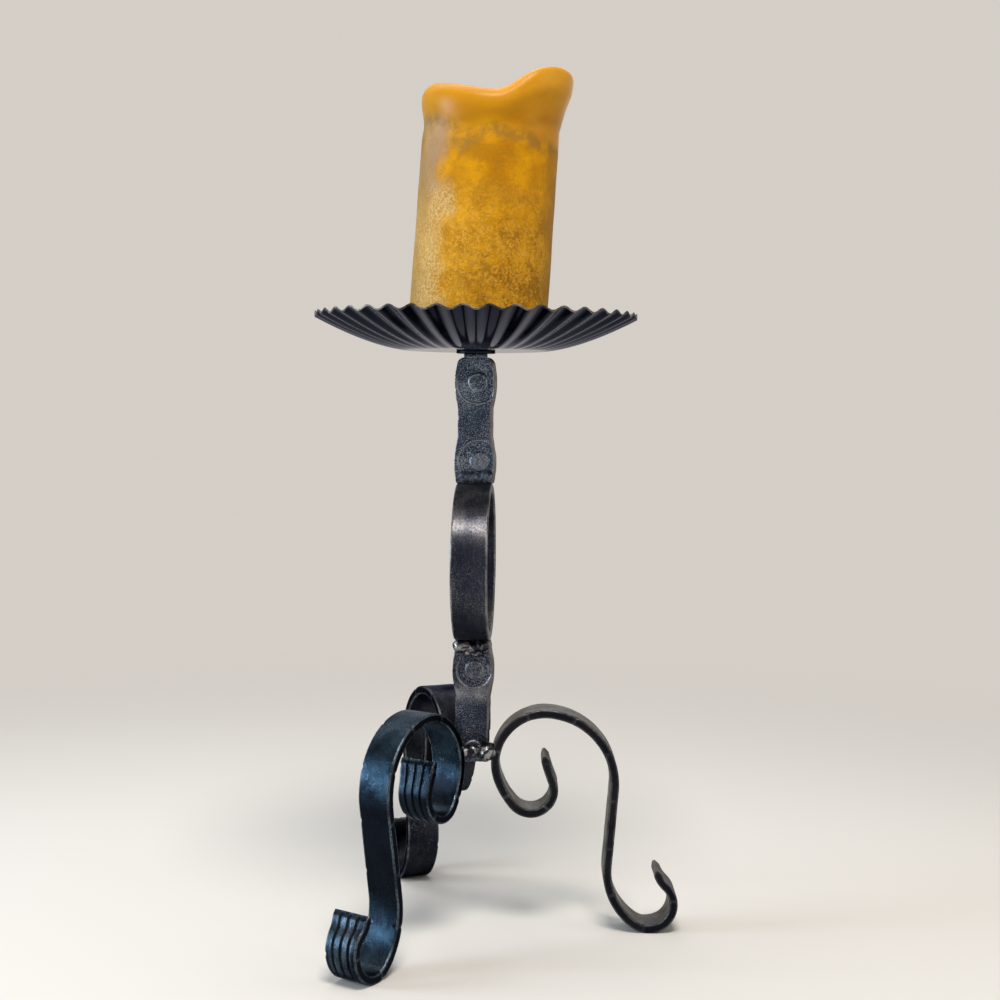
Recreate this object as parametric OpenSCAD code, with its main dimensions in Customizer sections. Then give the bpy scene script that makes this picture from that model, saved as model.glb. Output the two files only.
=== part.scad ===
// Wrought candle stand: a tripod of scrolled flat bar, a stem of two stamped bars
// with a ring between them, a fluted drip pan with a pricket, and a pillar candle.
// Millimetres. +Z is up. The origin is on the floor, under the stem's axis.
// The stem's stamped faces look along -Y, and +X is to the right of them.

/* [Flat bar] */
// Width of the flat bar that the legs and the ring are bent from
bar_w = 20; // [16:0.5:24]
// Thickness of that bar
bar_t = 5; // [4:0.25:6]

/* [Legs] */
// Direction of the right leg round the stem, in degrees from +X towards +Y
right_turn = -1.5; // [-10:0.5:10]
// Direction of the front leg
front_turn = -124; // [-135:0.5:-110]
// Direction of the back leg
back_turn = 112.5; // [105:0.5:130]
// Sideways slope of the front leg as it rises from its foot, in degrees
front_slope = -4.3; // [-5:0.1:2]
// Sideways slope of the back leg
back_slope = 1.5; // [-2:0.1:5]
// Radius of the curl that stands on the floor, at the bar's centre line
foot_r = 14; // [12:0.5:18]
// How far the curl turns up on the outer side of its lowest point, in degrees
foot_turn = 137; // [110:1:140]
// Radius of the curl's upturned end
foot_tip_r = 17.5; // [14:0.5:24]
// How far the upturned end bends back, in degrees
foot_tip_turn = 26; // [20:1:40]
// How far the curl turns on the inner side of its lowest point, in degrees
heel_turn = 36; // [30:1:42]
// Radius of the bend above the foot
shin_r = 37; // [30:0.5:44]
// Angle of that bend, in degrees
shin_turn = 58.5; // [54:0.5:62]
// Length of the straight upright part
shin_len = 43; // [30:1:60]
// How much longer that part is on the front leg
front_extra = 2; // [0:0.1:4]
// How much longer it is on the back leg
back_extra = 4.5; // [0:0.1:6]
// Radius of the outer half of the arch
shoulder_r = 40; // [36:0.5:44]
// Angle of the outer half of the arch, in degrees
shoulder_turn = 90; // [84:0.5:96]
// Radius of the inner half of the arch
crown_r = 28; // [25:0.5:31]
// Angle of the inner half of the arch, in degrees
crown_turn = 116; // [110:0.5:122]
// Radius of the long bend down into the scroll
neck_r = 47; // [40:1:55]
// Angle of that bend, in degrees
neck_turn = 19.5; // [14:0.5:24]
// Radius of the scroll at the inner end
scroll_r = 13; // [11:0.5:15]
// Angle of the scroll, in degrees
scroll_turn = 161; // [140:1:170]
// Radius of the scroll's last, nearly straight stretch
scroll_tip_r = 104; // [80:1:140]
// Angle of that stretch, in degrees
scroll_tip_turn = 7; // [5:0.5:10]
// Length of the chisel edge on both ends of a leg
chisel_len = 3; // [2:0.5:6]
// Thickness left at the chisel edge
chisel_edge = 1.5; // [0.8:0.1:2.5]
// How much of each curl is grooved, in degrees before its tip
groove_turn = 97; // [60:1:110]
// Width of the three grooves along the ends
groove_w = 1.6; // [0.8:0.1:2.2]
// Depth of those grooves
groove_d = 0.7; // [0.4:0.1:1]
// Depth worn flat where a foot meets the floor
foot_flat = 0.25; // [0.1:0.05:0.5]

/* [Stem] */
// Thickness of the stamped bar
stem_t = 6; // [5:0.5:8]
// Width of the stamped bar between its roundels
stem_w = 19.6; // [17:0.2:22]
// Swelling of each edge beside a roundel
stem_swell = 1.9; // [0.5:0.1:2.4]
// Half length of that swelling
swell_reach = 15; // [12:0.5:18]
// Length of the upper bar
upper_len = 70; // [64:1:90]
// Length of the lower bar
lower_len = 69; // [64:1:90]
// Distance between two roundels
roundel_pitch = 45; // [38:1:48]
// Upper bar's first roundel, below its top end
upper_roundel = 14; // [12:0.5:15]
// Lower bar's first roundel, below its top end
lower_roundel = 17; // [14:0.5:20]
// Radius of the stamped circle
roundel_r = 9; // [7.5:0.1:9.6]
// Radius of the raised disc in its middle
roundel_boss_r = 5.2; // [4:0.1:6]
// Depth that the ring round the disc is pressed in
roundel_depth = 0.5; // [0.3:0.1:1]
// Radius of the upper bar's top corners
shoulder_corner = 4; // [2:0.5:6]
// Width of the lower bar's end, dressed down to stand between the legs
toe_w = 18.6; // [16:0.2:19]
// Height of that dressed end
toe_len = 18; // [12:1:24]
// How far the lower bar's end reaches below the legs' innermost point
toe_drop = 1; // [0:0.5:4]
// Gap between the dressed end and a leg, filled by the weld
toe_gap = 1.3; // [0.5:0.1:2]

/* [Ring] */
// Outer radius of the ring
ring_r = 44; // [36:0.5:52]
// Turn of the ring about the stem's axis, in degrees
ring_turn = -4; // [-10:1:10]

/* [Pan] */
// Radius of the rim
pan_r = 89; // [75:1:110]
// Radius of the flat floor, measured under it
pan_floor_r = 37; // [30:0.5:45]
// Height of the rim above the floor's underside
pan_depth = 18.6; // [12:0.1:30]
// Thickness of the sheet
pan_sheet = 1; // [0.8:0.1:1.6]
// Number of flutes
flutes = 42; // [24:1:60]
// Depth of the flutes at the rim, from crest to trough
flute_depth = 2.4; // [1:0.1:4]
// Width of the shouldered neck under the washer
neck_w = 13; // [10:0.5:16]
// Height of that neck
neck_h = 2; // [1:0.25:4]
// Radius of the washer under the pan
washer_r = 10.8; // [8:0.1:14]
// Thickness of the washer
washer_t = 1.5; // [1:0.1:3]
// Radius of the stud that holds washer, pan and pricket
stud_r = 2.5; // [2:0.1:2.8]
// Length of the stud inside the pricket
stud_grip = 6; // [4:0.5:8]
// Radius of the pricket's round base
pricket_base_r = 9; // [7:0.5:12]
// Thickness of that base
pricket_base_t = 1.5; // [1:0.25:3]
// Radius of the spike where it leaves its base
spike_r = 4.5; // [4:0.25:6]
// Length of the spike above its base
spike_len = 32; // [24:1:45]
// Radius left at the spike's point
spike_point_r = 0.5; // [0.3:0.1:1]

/* [Candle] */
// Radius of the candle near its base
candle_r = 38.7; // [32:0.1:40]
// Height of the rim at its lowest place
candle_h = 134; // [100:1:200]
// Lean of the candle towards +X, in degrees
candle_lean = 3.5; // [0:0.5:5]
// Loss of radius from base to rim
candle_taper = 1; // [0:0.1:3]
// Rounding of the bottom edge
candle_foot = 2; // [1:0.25:4]
// Rise of the rim on the far side from the lip
rim_rise = 9.5; // [0:0.5:12]
// Swelling of the wall below the rim
rim_swell = 1.6; // [0:0.1:3]
// Rise of the lip above the rim
lip_rise = 15.5; // [0:0.5:20]
// Reach of the lip beyond the wall
lip_reach = 4.5; // [0:0.5:8]
// Half width of the lip round the candle, in degrees
lip_half = 71; // [35:1:75]
// Thickness of the wall round the melt pool
candle_wall = 9; // [6:0.5:12]
// Depth of the melt pool below the rim's lowest place
pool_depth = 22; // [12:1:30]
// Radius of the wick
wick_r = 1.3; // [0.8:0.1:2]
// Height of the wick above the pool's floor
wick_h = 12; // [8:1:16]

/* [Hidden] */
$fn = 64;

// Clearance between parts that are fitted into each other
fit = 0.05;
// Clearance of the candle over the pricket
seat_gap = 0.4;
// Overrun of a cut past the face it starts from, and of a boss into what it stands on
over = 1;

steel = [0.12, 0.13, 0.17];
bright = [0.32, 0.31, 0.33];
wax = [0.85, 0.58, 0.08];

// Paths of the bar

// A bend is [radius, turn], and a straight is [length, 0]. A path starts at p with heading h.
function bend_centre(p, h, b) = p + b[0] * sign(b[1]) * [-sin(h), cos(h)];
function bend_end(p, h, b) =
    b[1] == 0
    ? p + b[0] * [cos(h), sin(h)]
    : bend_centre(p, h, b) + b[0] * sign(b[1]) * [sin(h + b[1]), -cos(h + b[1])];
function path_end(bends, p, h, i = 0) =
    i == len(bends) ? [p, h] : path_end(bends, bend_end(p, h, bends[i]), h + bends[i][1], i + 1);
function first(list, n) = [for (i = [0 : 1 : n - 1]) list[i]];

// Points along a path, each with its heading, a few degrees apart on a bend
mark_step = 6;
function bend_marks(p, h, b) =
    let (n = max(1, ceil(abs(b[1]) / mark_step)))
    [for (i = [0 : n - 1]) i == 0 ? [p, h] : [bend_end(p, h, [b[0], b[1] * i / n]), h + b[1] * i / n]];
function path_marks(bends, p, h, i = 0) =
    i == len(bends) ? [[p, h]]
    : concat(
        bend_marks(p, h, bends[i]),
        path_marks(bends, bend_end(p, h, bends[i]), h + bends[i][1], i + 1)
    );
function beside(mark, d) = mark[0] + d * [-sin(mark[1]), cos(mark[1])];
function ahead(mark, d) = mark[0] + d * [cos(mark[1]), sin(mark[1])];
function turned_back(marks) = [for (i = [len(marks) - 1 : -1 : 0]) [marks[i][0], marks[i][1] + 180]];

leg_turns = [right_turn, front_turn, back_turn];
leg_slopes = [0, front_slope, back_slope];
leg_extras = [0, front_extra, back_extra];

// Both ways out from the lowest point of a foot: towards the stem, then up to the foot's tip
function inward(leg) = [
    [foot_r, -heel_turn], [shin_r, -shin_turn], [shin_len + leg_extras[leg], 0],
    [shoulder_r, shoulder_turn], [crown_r, crown_turn], [neck_r, neck_turn],
    [scroll_r, scroll_turn], [scroll_tip_r, -scroll_tip_turn]
];
outward = [[foot_r, foot_turn], [foot_tip_r, -foot_tip_turn]];

// The innermost point of a leg, where the bar runs straight down beside the stem
function crown_start(leg) = path_end(first(inward(leg), 4), [0, 0], 180);
function root(leg) =
    let (start = crown_start(leg))
    bend_end(start[0], start[1], [crown_r, 270 - start[1]]);
root_r = toe_w / 2 + toe_gap + bar_t / 2;
foot_z = bar_t / 2 - foot_flat;
function foot_reach(leg) = root_r - root(leg)[0];

// Heights of the stem
stem_z = foot_z + root(0)[1] - toe_drop;
ring_z = stem_z + lower_len + ring_r;
upper_z = ring_z + ring_r;
upper_top = upper_z + upper_len;
washer_z = upper_top + neck_h;
pan_z = washer_z + washer_t;
seat_z = pan_z + pan_sheet;

// Legs

// The outline of a bar along marks, with a chisel edge on both ends
function chisel_points(mark) = [
    beside([ahead(mark, chisel_len), mark[1]], -chisel_edge / 2),
    beside([ahead(mark, chisel_len), mark[1]], chisel_edge / 2)
];
module bar_outline(marks) {
    back = turned_back(marks);
    polygon(concat(
        [for (m = marks) beside(m, -bar_t / 2)], chisel_points(marks[len(marks) - 1]),
        [for (m = back) beside(m, -bar_t / 2)], chisel_points(back[len(back) - 1])
    ));
}

// Three grooves along the outside of a curl, from groove_turn before its end to past its tip
module curl_grooves(way, heading, curl) {
    before = concat(first(way, curl), [[way[curl][0], way[curl][1] - groove_turn]]);
    start = path_end(before, [0, 0], heading);
    marks = path_marks(
        [[way[curl][0], groove_turn], way[curl + 1], [chisel_len + over, 0]], start[0], start[1]
    );
    for (row = [-1 : 1])
        translate([0, 0, row * bar_w / 4 - groove_w / 2])
            linear_extrude(groove_w)
                polygon(concat(
                    [for (m = marks) beside(m, -bar_t / 2 - over)],
                    [for (m = turned_back(marks)) beside(m, bar_t / 2 - groove_d)]
                ));
}

// Stands a shape drawn in the XY plane up on the floor, as the leg of that number
module stand_up(leg) {
    rotate([0, 0, leg_turns[leg]])
        multmatrix([[1, 0, 0, foot_reach(leg)], [0, 1, tan(leg_slopes[leg]), 0], [0, 0, 1, foot_z]])
            rotate([90, 0, 0])
                children();
}

function leg_marks(leg) =
    let (out = path_marks(outward, [0, 0], 0))
    concat(turned_back(path_marks(inward(leg), [0, 0], 180)), [for (i = [1 : len(out) - 1]) out[i]]);

module leg(number) {
    color(steel)
        difference() {
            stand_up(number)
                difference() {
                    translate([0, 0, -bar_w / 2])
                        linear_extrude(bar_w)
                            bar_outline(leg_marks(number));
                    curl_grooves(inward(number), 180, 6);
                    curl_grooves(outward, 0, 0);
                }
            translate([0, 0, -bar_t])
                cylinder(r = foot_reach(number) + 3 * foot_r, h = bar_t);
        }
}

// The part of a leg that the weld meets
module leg_root(number) {
    bends = inward(number);
    start = crown_start(number);
    marks = path_marks([bends[4], bends[5]], start[0], start[1]);
    stand_up(number)
        translate([0, 0, -bar_w / 2])
            linear_extrude(bar_w)
                polygon(concat(
                    [for (m = marks) beside(m, -bar_t / 2)],
                    [for (m = turned_back(marks)) beside(m, -bar_t / 2)]
                ));
}

module leg_right() { leg(0); }
module leg_front() { leg(1); }
module leg_back() { leg(2); }

// Stem

// Half width of a stamped bar at height z, with roundels at the heights in centres
function swell(z, centres, i = 0) =
    i == len(centres) ? 0
    : max(
        abs(z - centres[i]) < swell_reach ? (1 + cos(180 * (z - centres[i]) / swell_reach)) / 2 : 0,
        swell(z, centres, i + 1)
    );
function corner(d, r) = d < r ? r - sqrt(r * r - (r - d) * (r - d)) : 0;
function bar_half(z, centres) = stem_w / 2 + stem_swell * pow(swell(z, centres), 0.6);

// A stamped bar that stands on z = 0, from the half widths at its levels
module stamped_bar(levels, halves, centres, length) {
    last = len(levels) - 1;
    difference() {
        translate([0, stem_t / 2, 0])
            rotate([90, 0, 0])
                linear_extrude(stem_t)
                    polygon([
                        for (i = [0 : last]) [halves[i], levels[i]],
                        for (i = [last : -1 : 0]) [-halves[i], levels[i]]
                    ]);
        for (z = centres)
            translate([0, -stem_t / 2 + roundel_depth, z])
                rotate([90, 0, 0])
                    difference() {
                        cylinder(r = roundel_r, h = roundel_depth + over);
                        translate([0, 0, -over])
                            cylinder(r = roundel_boss_r, h = roundel_depth + 3 * over);
                    }
    }
}

level_step = 2;
function levels_of(length) = [for (i = [0 : floor(length / level_step) - 1]) i * level_step, length];

module ring_space() {
    translate([0, 0, ring_z])
        rotate([0, 0, ring_turn])
            rotate([0, 90, 0])
                cylinder(r = ring_r, h = 2 * bar_w, center = true);
}

module lower_stem() {
    lip = stem_t * stem_t / ring_r;
    length = lower_len + lip;
    centres = [lower_len - lower_roundel, lower_len - lower_roundel - roundel_pitch];
    levels = levels_of(length);
    halves = [for (z = levels) z < toe_len ? toe_w / 2 : bar_half(z, [centres[0]])];
    color(steel)
        difference() {
            translate([0, 0, stem_z])
                stamped_bar(levels, halves, centres, length);
            ring_space();
        }
}

module upper_stem() {
    lip = stem_t * stem_t / ring_r;
    length = upper_len + lip;
    centres = [length - upper_roundel, length - upper_roundel - roundel_pitch];
    levels = concat(
        [for (z = levels_of(length - shoulder_corner)) z],
        [for (i = [1 : 6]) length - shoulder_corner + shoulder_corner * i / 6]
    );
    halves = [for (z = levels) bar_half(z, centres) - corner(length - z, shoulder_corner)];
    color(steel) {
        difference() {
            translate([0, 0, upper_top - length])
                stamped_bar(levels, halves, centres, length);
            ring_space();
        }
        translate([-neck_w / 2, -stem_t / 2, upper_top - over])
            cube([neck_w, stem_t, neck_h + over]);
        translate([0, 0, upper_top])
            cylinder(r = stud_r, h = seat_z + stud_grip - upper_top, $fn = 32);
    }
}

module stem_ring() {
    color(steel)
        translate([0, 0, ring_z])
            rotate([0, 0, ring_turn])
                rotate([0, 90, 0])
                    difference() {
                        cylinder(r = ring_r, h = bar_w, center = true, $fn = 128);
                        cylinder(r = ring_r - bar_t, h = bar_w + 2 * over, center = true, $fn = 128);
                    }
}

// Welds

// Radius of the drops that the beads are made of, and how much it varies
weld_r = 0.75 * bar_t;
drop_spread = 0.14;

// A row of weld drops from a to b, each a little off the line and of its own size
module weld_row(a, b, drops, r) {
    for (i = [0 : drops - 1]) {
        along = a + (b - a) * i / max(1, drops - 1);
        translate(along + [0, 0, 0.12 * r * sin(217 * i)])
            sphere(r = r * (1 + drop_spread * sin(151 * i + 40)), $fn = 32);
    }
}

module ring_weld(z, up) {
    run = stem_w / 2 - weld_r * 0.7;
    color(bright)
        difference() {
            for (side = [-1, 1])
                rotate([0, 0, ring_turn / 2])
                    translate([0, side * (stem_t / 2 + weld_r * 0.1), z + up * weld_r * 0.5])
                        weld_row([-run, 0, 0], [run, 0, 0], 5, weld_r);
            ring_space();
            translate([0, 0, z])
                cube([2 * bar_w, stem_t, 4 * bar_w], center = true);
        }
}

module weld_ring_bottom() { ring_weld(ring_z - ring_r, -1); }
module weld_ring_top() { ring_weld(ring_z + ring_r, 1); }

// Height of the beads between the stem's dressed end and the legs
weld_z = stem_z + 1.8 * weld_r;
// How far out from the stem's middle plane the beads lie
bead_out = stem_t / 2 + 0.9 * weld_r;
// Radius of the drops of the right leg's bead, the largest of the three
right_bead_r = 1.3 * weld_r;
// The ends of each leg's bead, seen from above
right_bead = [[0.1 * toe_w, -bead_out], [root_r - bar_t / 2, -bead_out]];
front_bead = [[-0.5 * toe_w, -0.8 * bead_out], [-0.42 * toe_w, -1.2 * bead_out]];
back_bead = [[-0.45 * toe_w, 0.9 * bead_out], [0, 1.2 * bead_out]];

module bead(ends, r) {
    weld_row([ends[0][0], ends[0][1], weld_z], [ends[1][0], ends[1][1], weld_z], 3, r);
}

module leg_weld(number, ends, r) {
    color(bright)
        difference() {
            bead(ends, r);
            leg_root(number);
            translate([-toe_w / 2, -stem_t / 2, stem_z])
                cube([toe_w, stem_t, lower_len]);
        }
}

module weld_right() { leg_weld(0, right_bead, right_bead_r); }

module weld_front() { leg_weld(1, front_bead, weld_r); }
module weld_back() { leg_weld(2, back_bead, 1.1 * weld_r); }

// Pan

pan_bands = 5;
pan_steps = 4 * flutes;
pan_radii = [for (k = [0 : pan_bands]) pan_floor_r + (pan_r - pan_floor_r) * k / pan_bands];

// Height of the sheet's underside above the floor's, at radius r and angle a
function pan_share(r) = max(0, (r - pan_floor_r) / (pan_r - pan_floor_r));
function pan_height(r, a) =
    pan_depth * pow(pan_share(r), 1.5) + flute_depth / 2 * pow(pan_share(r), 0.8) * cos(flutes * a);

// Points of the underside and then of the upper side, ring by ring, with a centre point each
function pan_side(lift) = concat(
    [[0, 0, lift]],
    [for (r = pan_radii) for (j = [0 : pan_steps - 1])
        let (a = 360 * j / pan_steps)
        [r * cos(a), r * sin(a), lift + pan_height(r, a)]]
);
function pan_at(side, k, j) = side * (1 + pan_steps * (pan_bands + 1)) + 1 + k * pan_steps + j % pan_steps;
function pan_centre(side) = side * (1 + pan_steps * (pan_bands + 1));

module drip_pan() {
    faces = concat(
        [for (j = [0 : pan_steps - 1]) [pan_centre(0), pan_at(0, 0, j), pan_at(0, 0, j + 1)]],
        [for (j = [0 : pan_steps - 1]) [pan_centre(1), pan_at(1, 0, j + 1), pan_at(1, 0, j)]],
        [for (k = [0 : pan_bands - 1]) for (j = [0 : pan_steps - 1]) each [
            [pan_at(0, k, j), pan_at(0, k + 1, j), pan_at(0, k, j + 1)],
            [pan_at(0, k, j + 1), pan_at(0, k + 1, j), pan_at(0, k + 1, j + 1)],
            [pan_at(1, k, j), pan_at(1, k, j + 1), pan_at(1, k + 1, j)],
            [pan_at(1, k, j + 1), pan_at(1, k + 1, j + 1), pan_at(1, k + 1, j)]
        ]],
        [for (j = [0 : pan_steps - 1]) each [
            [pan_at(0, pan_bands, j), pan_at(1, pan_bands, j), pan_at(0, pan_bands, j + 1)],
            [pan_at(0, pan_bands, j + 1), pan_at(1, pan_bands, j), pan_at(1, pan_bands, j + 1)]
        ]]
    );
    color(steel)
        difference() {
            translate([0, 0, pan_z])
                polyhedron(concat(pan_side(0), pan_side(pan_sheet)), faces);
            translate([0, 0, pan_z - over])
                cylinder(r = stud_r + fit, h = pan_sheet + 2 * over, $fn = 32);
        }
}

module pan_washer() {
    color(steel)
        translate([0, 0, washer_z])
            difference() {
                cylinder(r = washer_r, h = washer_t);
                translate([0, 0, -over])
                    cylinder(r = stud_r + fit, h = washer_t + 2 * over, $fn = 32);
            }
}

module pricket() {
    color(steel)
        translate([0, 0, seat_z])
            difference() {
                union() {
                    cylinder(r = pricket_base_r, h = pricket_base_t);
                    translate([0, 0, pricket_base_t])
                        cylinder(r1 = spike_r, r2 = spike_point_r, h = spike_len);
                }
                translate([0, 0, -over])
                    cylinder(r = stud_r + fit, h = over + stud_grip + fit, $fn = 32);
            }
}

// Candle

candle_steps = 48;
// Levels up the outer wall as shares of the rim's height, the crest, then the melt pool
wall_levels = [0, candle_foot / candle_h, 0.25, 0.5, 0.75, 0.82, 0.87, 0.92, 0.96, 0.985];
crest_level = len(wall_levels);
pool_level = crest_level + 2;
candle_rings = pool_level + 2;
pool_z = candle_h - pool_depth;

// Share of the lip at angle a, from 1 in its middle to 0
function lip_share(a) = exp(-pow(abs(a > 180 ? a - 360 : a) / lip_half, 6));
function rim_z(a) = candle_h + rim_rise * pow((1 - cos(a)) / 2, 2.5) + lip_rise * lip_share(a);
// The wall's radius at share s of the rim's height
function wall_r(s, a) =
    candle_r - candle_taper * s
    + rim_swell * exp(-pow((s - 0.94) / 0.05, 2))
    + lip_reach * lip_share(a) * pow(min(1, max(0, (s - 0.8) / 0.16)), 0.8);
function foot_ring_r() = min(candle_r - candle_foot, pan_floor_r - seat_gap);

// One point of the candle, at ring k and angle a, before it leans
function candle_point(k, a) =
    k == 0 ? [foot_ring_r(), 0]
    : k < crest_level ? [wall_r(wall_levels[k], a), wall_levels[k] * rim_z(a)]
    : k == crest_level ? [wall_r(1, a) - 0.45 * candle_wall, rim_z(a)]
    : k == crest_level + 1 ? [wall_r(1, a) - candle_wall, 0.975 * rim_z(a)]
    : k == pool_level ? [candle_r - 1.35 * candle_wall, pool_z + 0.15 * pool_depth]
    : [candle_r - 1.8 * candle_wall, pool_z];
function lean_at(z) = z * tan(candle_lean);

module candle_body() {
    points = concat(
        [[0, 0, 0], [lean_at(pool_z), 0, pool_z]],
        [for (k = [0 : candle_rings - 1]) for (j = [0 : candle_steps - 1])
            let (a = 360 * j / candle_steps, q = candle_point(k, a))
            [q[0] * cos(a) + lean_at(q[1]), q[0] * sin(a), q[1]]]
    );
    function at(k, j) = 2 + k * candle_steps + j % candle_steps;
    faces = concat(
        [for (j = [0 : candle_steps - 1]) [0, at(0, j), at(0, j + 1)]],
        [for (j = [0 : candle_steps - 1]) [1, at(candle_rings - 1, j + 1), at(candle_rings - 1, j)]],
        [for (k = [0 : candle_rings - 2]) for (j = [0 : candle_steps - 1]) each [
            [at(k, j), at(k + 1, j), at(k, j + 1)],
            [at(k, j + 1), at(k + 1, j), at(k + 1, j + 1)]
        ]]
    );
    polyhedron(points, faces);
}

module candle() {
    color(wax)
        translate([0, 0, seat_z])
            difference() {
                candle_body();
                translate([0, 0, -over])
                    cylinder(r = pricket_base_r + seat_gap, h = over + pricket_base_t + seat_gap);
                translate([0, 0, pricket_base_t])
                    cylinder(r1 = spike_r + seat_gap, r2 = spike_point_r + seat_gap, h = spike_len + seat_gap);
                translate([lean_at(pool_z), 0, pool_z - 3 * wick_r])
                    cylinder(r = wick_r + fit, h = pool_depth, $fn = 32);
            }
}

module wick() {
    color("dimgray")
        translate([lean_at(pool_z), 0, seat_z + pool_z - 3 * wick_r])
            cylinder(r = wick_r, h = wick_h + 3 * wick_r, $fn = 32);
}

leg_right();
leg_front();
leg_back();
lower_stem();
stem_ring();
upper_stem();
weld_right();
weld_front();
weld_back();
weld_ring_bottom();
weld_ring_top();
pan_washer();
drip_pan();
pricket();
candle();
wick();
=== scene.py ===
"""Looks of a standing candle holder of scrolled flat bar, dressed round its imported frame.

The pieces' classes give lengths in millimetres, and their meshes are brought to metres at the end.
The finishes, the lamps and the camera are in metres, and scales of noise are lumps per metre.
+Z is up, and the origin is on the floor, under the stem's axis.
"""

import logging
import math
from collections.abc import Callable
from dataclasses import dataclass
from enum import Enum

import bmesh
import bpy
from bmesh.types import BMEdge, BMesh, BMLayerItem, BMVert
from mathutils import Matrix, Vector, noise


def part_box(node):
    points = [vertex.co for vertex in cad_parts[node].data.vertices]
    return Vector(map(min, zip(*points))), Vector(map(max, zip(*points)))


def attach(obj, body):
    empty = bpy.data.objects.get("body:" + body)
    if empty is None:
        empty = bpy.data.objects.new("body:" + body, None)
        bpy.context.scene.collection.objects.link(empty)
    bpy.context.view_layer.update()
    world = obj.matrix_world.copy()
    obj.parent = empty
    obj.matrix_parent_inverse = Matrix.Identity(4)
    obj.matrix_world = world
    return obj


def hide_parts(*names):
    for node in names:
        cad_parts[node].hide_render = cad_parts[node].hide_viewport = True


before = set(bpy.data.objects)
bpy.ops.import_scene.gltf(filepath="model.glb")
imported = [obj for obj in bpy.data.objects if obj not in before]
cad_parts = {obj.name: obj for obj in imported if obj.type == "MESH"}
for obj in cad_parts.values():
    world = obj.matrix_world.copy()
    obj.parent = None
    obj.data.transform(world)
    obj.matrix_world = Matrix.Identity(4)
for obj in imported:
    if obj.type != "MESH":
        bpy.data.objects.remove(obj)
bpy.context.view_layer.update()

LOG = logging.getLogger("candle_holder")
MM = 0.001
UP = Vector((0, 0, 1))
Z_AXIS = (0, 0, 1)
# The edge layer marks worn edges, and also painted light: lighter upward faces on the legs and the ring,
# painted highlights on the ring and round the roundels, painted highlights on weld crowns, and painted
# shade on the candle's crest.
WEAR_AND_PAINTED_LIGHT_LAYER = "edge"
# The side layer marks where a steel's side tone paints light and shade: painted shade on the legs' narrow
# sides and on the front leg's upright, painted light on the stem bars' right front corner and on the
# ring's narrow sides.
PAINTED_SIDE_LIGHT_LAYER = "side"
PLACE_LAYER = "place"

Colour = tuple[float, float, float]
Point = tuple[float, float, float]
Socket = bpy.types.NodeSocket
Feed = float | Colour | Socket
Inputs = bpy.types.NodeInputs
Given = dict[str, Socket]


class Body(Enum):
    """The bodies that pieces ride on."""

    STAND = "stand"
    PILLAR = "pillar"


class Slot(Enum):
    """The material slots that each piece is given."""

    STEEL = "blackened_steel"
    WELD = "weld_metal"
    WAX = "wax"
    WICK = "wick"


class Face(Enum):
    """The two broad faces of a bar, by the side of its path that they lie on."""

    LEFT = 1
    RIGHT = -1


class Part(Enum):
    """The parts of a stamped bar's section."""

    FRONT = "front"
    BACK = "back"
    CORNER = "corner"


class Zone(Enum):
    """The parts of the candle's profile, from the pricket's hole to the melt pool."""

    HOLE = "hole"
    WALL = "wall"
    CREST = "crest"
    POOL = "pool"


def smooth_step(value: float, low: float, high: float) -> float:
    """Rises smoothly from 0 at low to 1 at high, which may be below low."""
    t = min(1.0, max(0.0, (value - low) / (high - low)))
    return t * t * (3 - 2 * t)


def bell(offset: float, reach: float) -> float:
    """A bell curve: 1 where the offset is 0, and about a third where it equals the reach."""
    return math.exp(-((offset / reach) ** 2))


def wave(point: Vector, size: float, seed: float = 0.0) -> float:
    """A smooth random field from about -1 to 1, whose lumps are size millimetres wide."""
    return noise.noise(point / size + Vector((seed, -seed, 2 * seed)))


def hollow(point: Vector, size: float, seed: float) -> float:
    """The same field as wave, brought to about 0 to 1."""
    return 0.5 + 0.5 * wave(point, size, seed)


def low_corner(node: str) -> Vector:
    """The lowest corner of a CAD node, in millimetres."""
    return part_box(node)[0] / MM


def high_corner(node: str) -> Vector:
    """The highest corner of a CAD node, in millimetres."""
    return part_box(node)[1] / MM


def new_object(name: str, data: bpy.types.ID) -> bpy.types.Object:
    """Makes an object and puts it in the scene.

    Args:
        name: Its name.
        data: Its mesh, lamp or camera.

    Returns:
        The object.
    """
    made = bpy.data.objects.new(name, data)
    bpy.context.scene.collection.objects.link(made)
    return made


def closed_loop(bm: BMesh, verts: list[BMVert]) -> list[BMEdge]:
    """Joins vertices into a closed loop, and gives its edges."""
    return [bm.edges.new((verts[i - 1], verts[i])) for i in range(len(verts))]


def open_line(bm: BMesh, verts: list[BMVert]) -> list[BMEdge]:
    """Joins vertices into an open line, and gives its edges."""
    return [bm.edges.new(pair) for pair in zip(verts, verts[1:])]


def edges_of(verts: list[BMVert]) -> list[BMEdge]:
    """The edges that meet in some vertices, each once and in a fixed order."""
    return list(dict.fromkeys(edge for vert in verts for edge in vert.link_edges))


def full_spin(bm: BMesh, profile: list[BMVert | BMEdge], axis: Point, steps: int) -> None:
    """Spins a profile once round an axis through the origin, and merges its ends."""
    bmesh.ops.spin(
        bm, geom=profile, cent=(0, 0, 0), axis=axis, angle=math.tau,
        steps=steps, use_merge=True, use_duplicate=False,
    )


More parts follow.
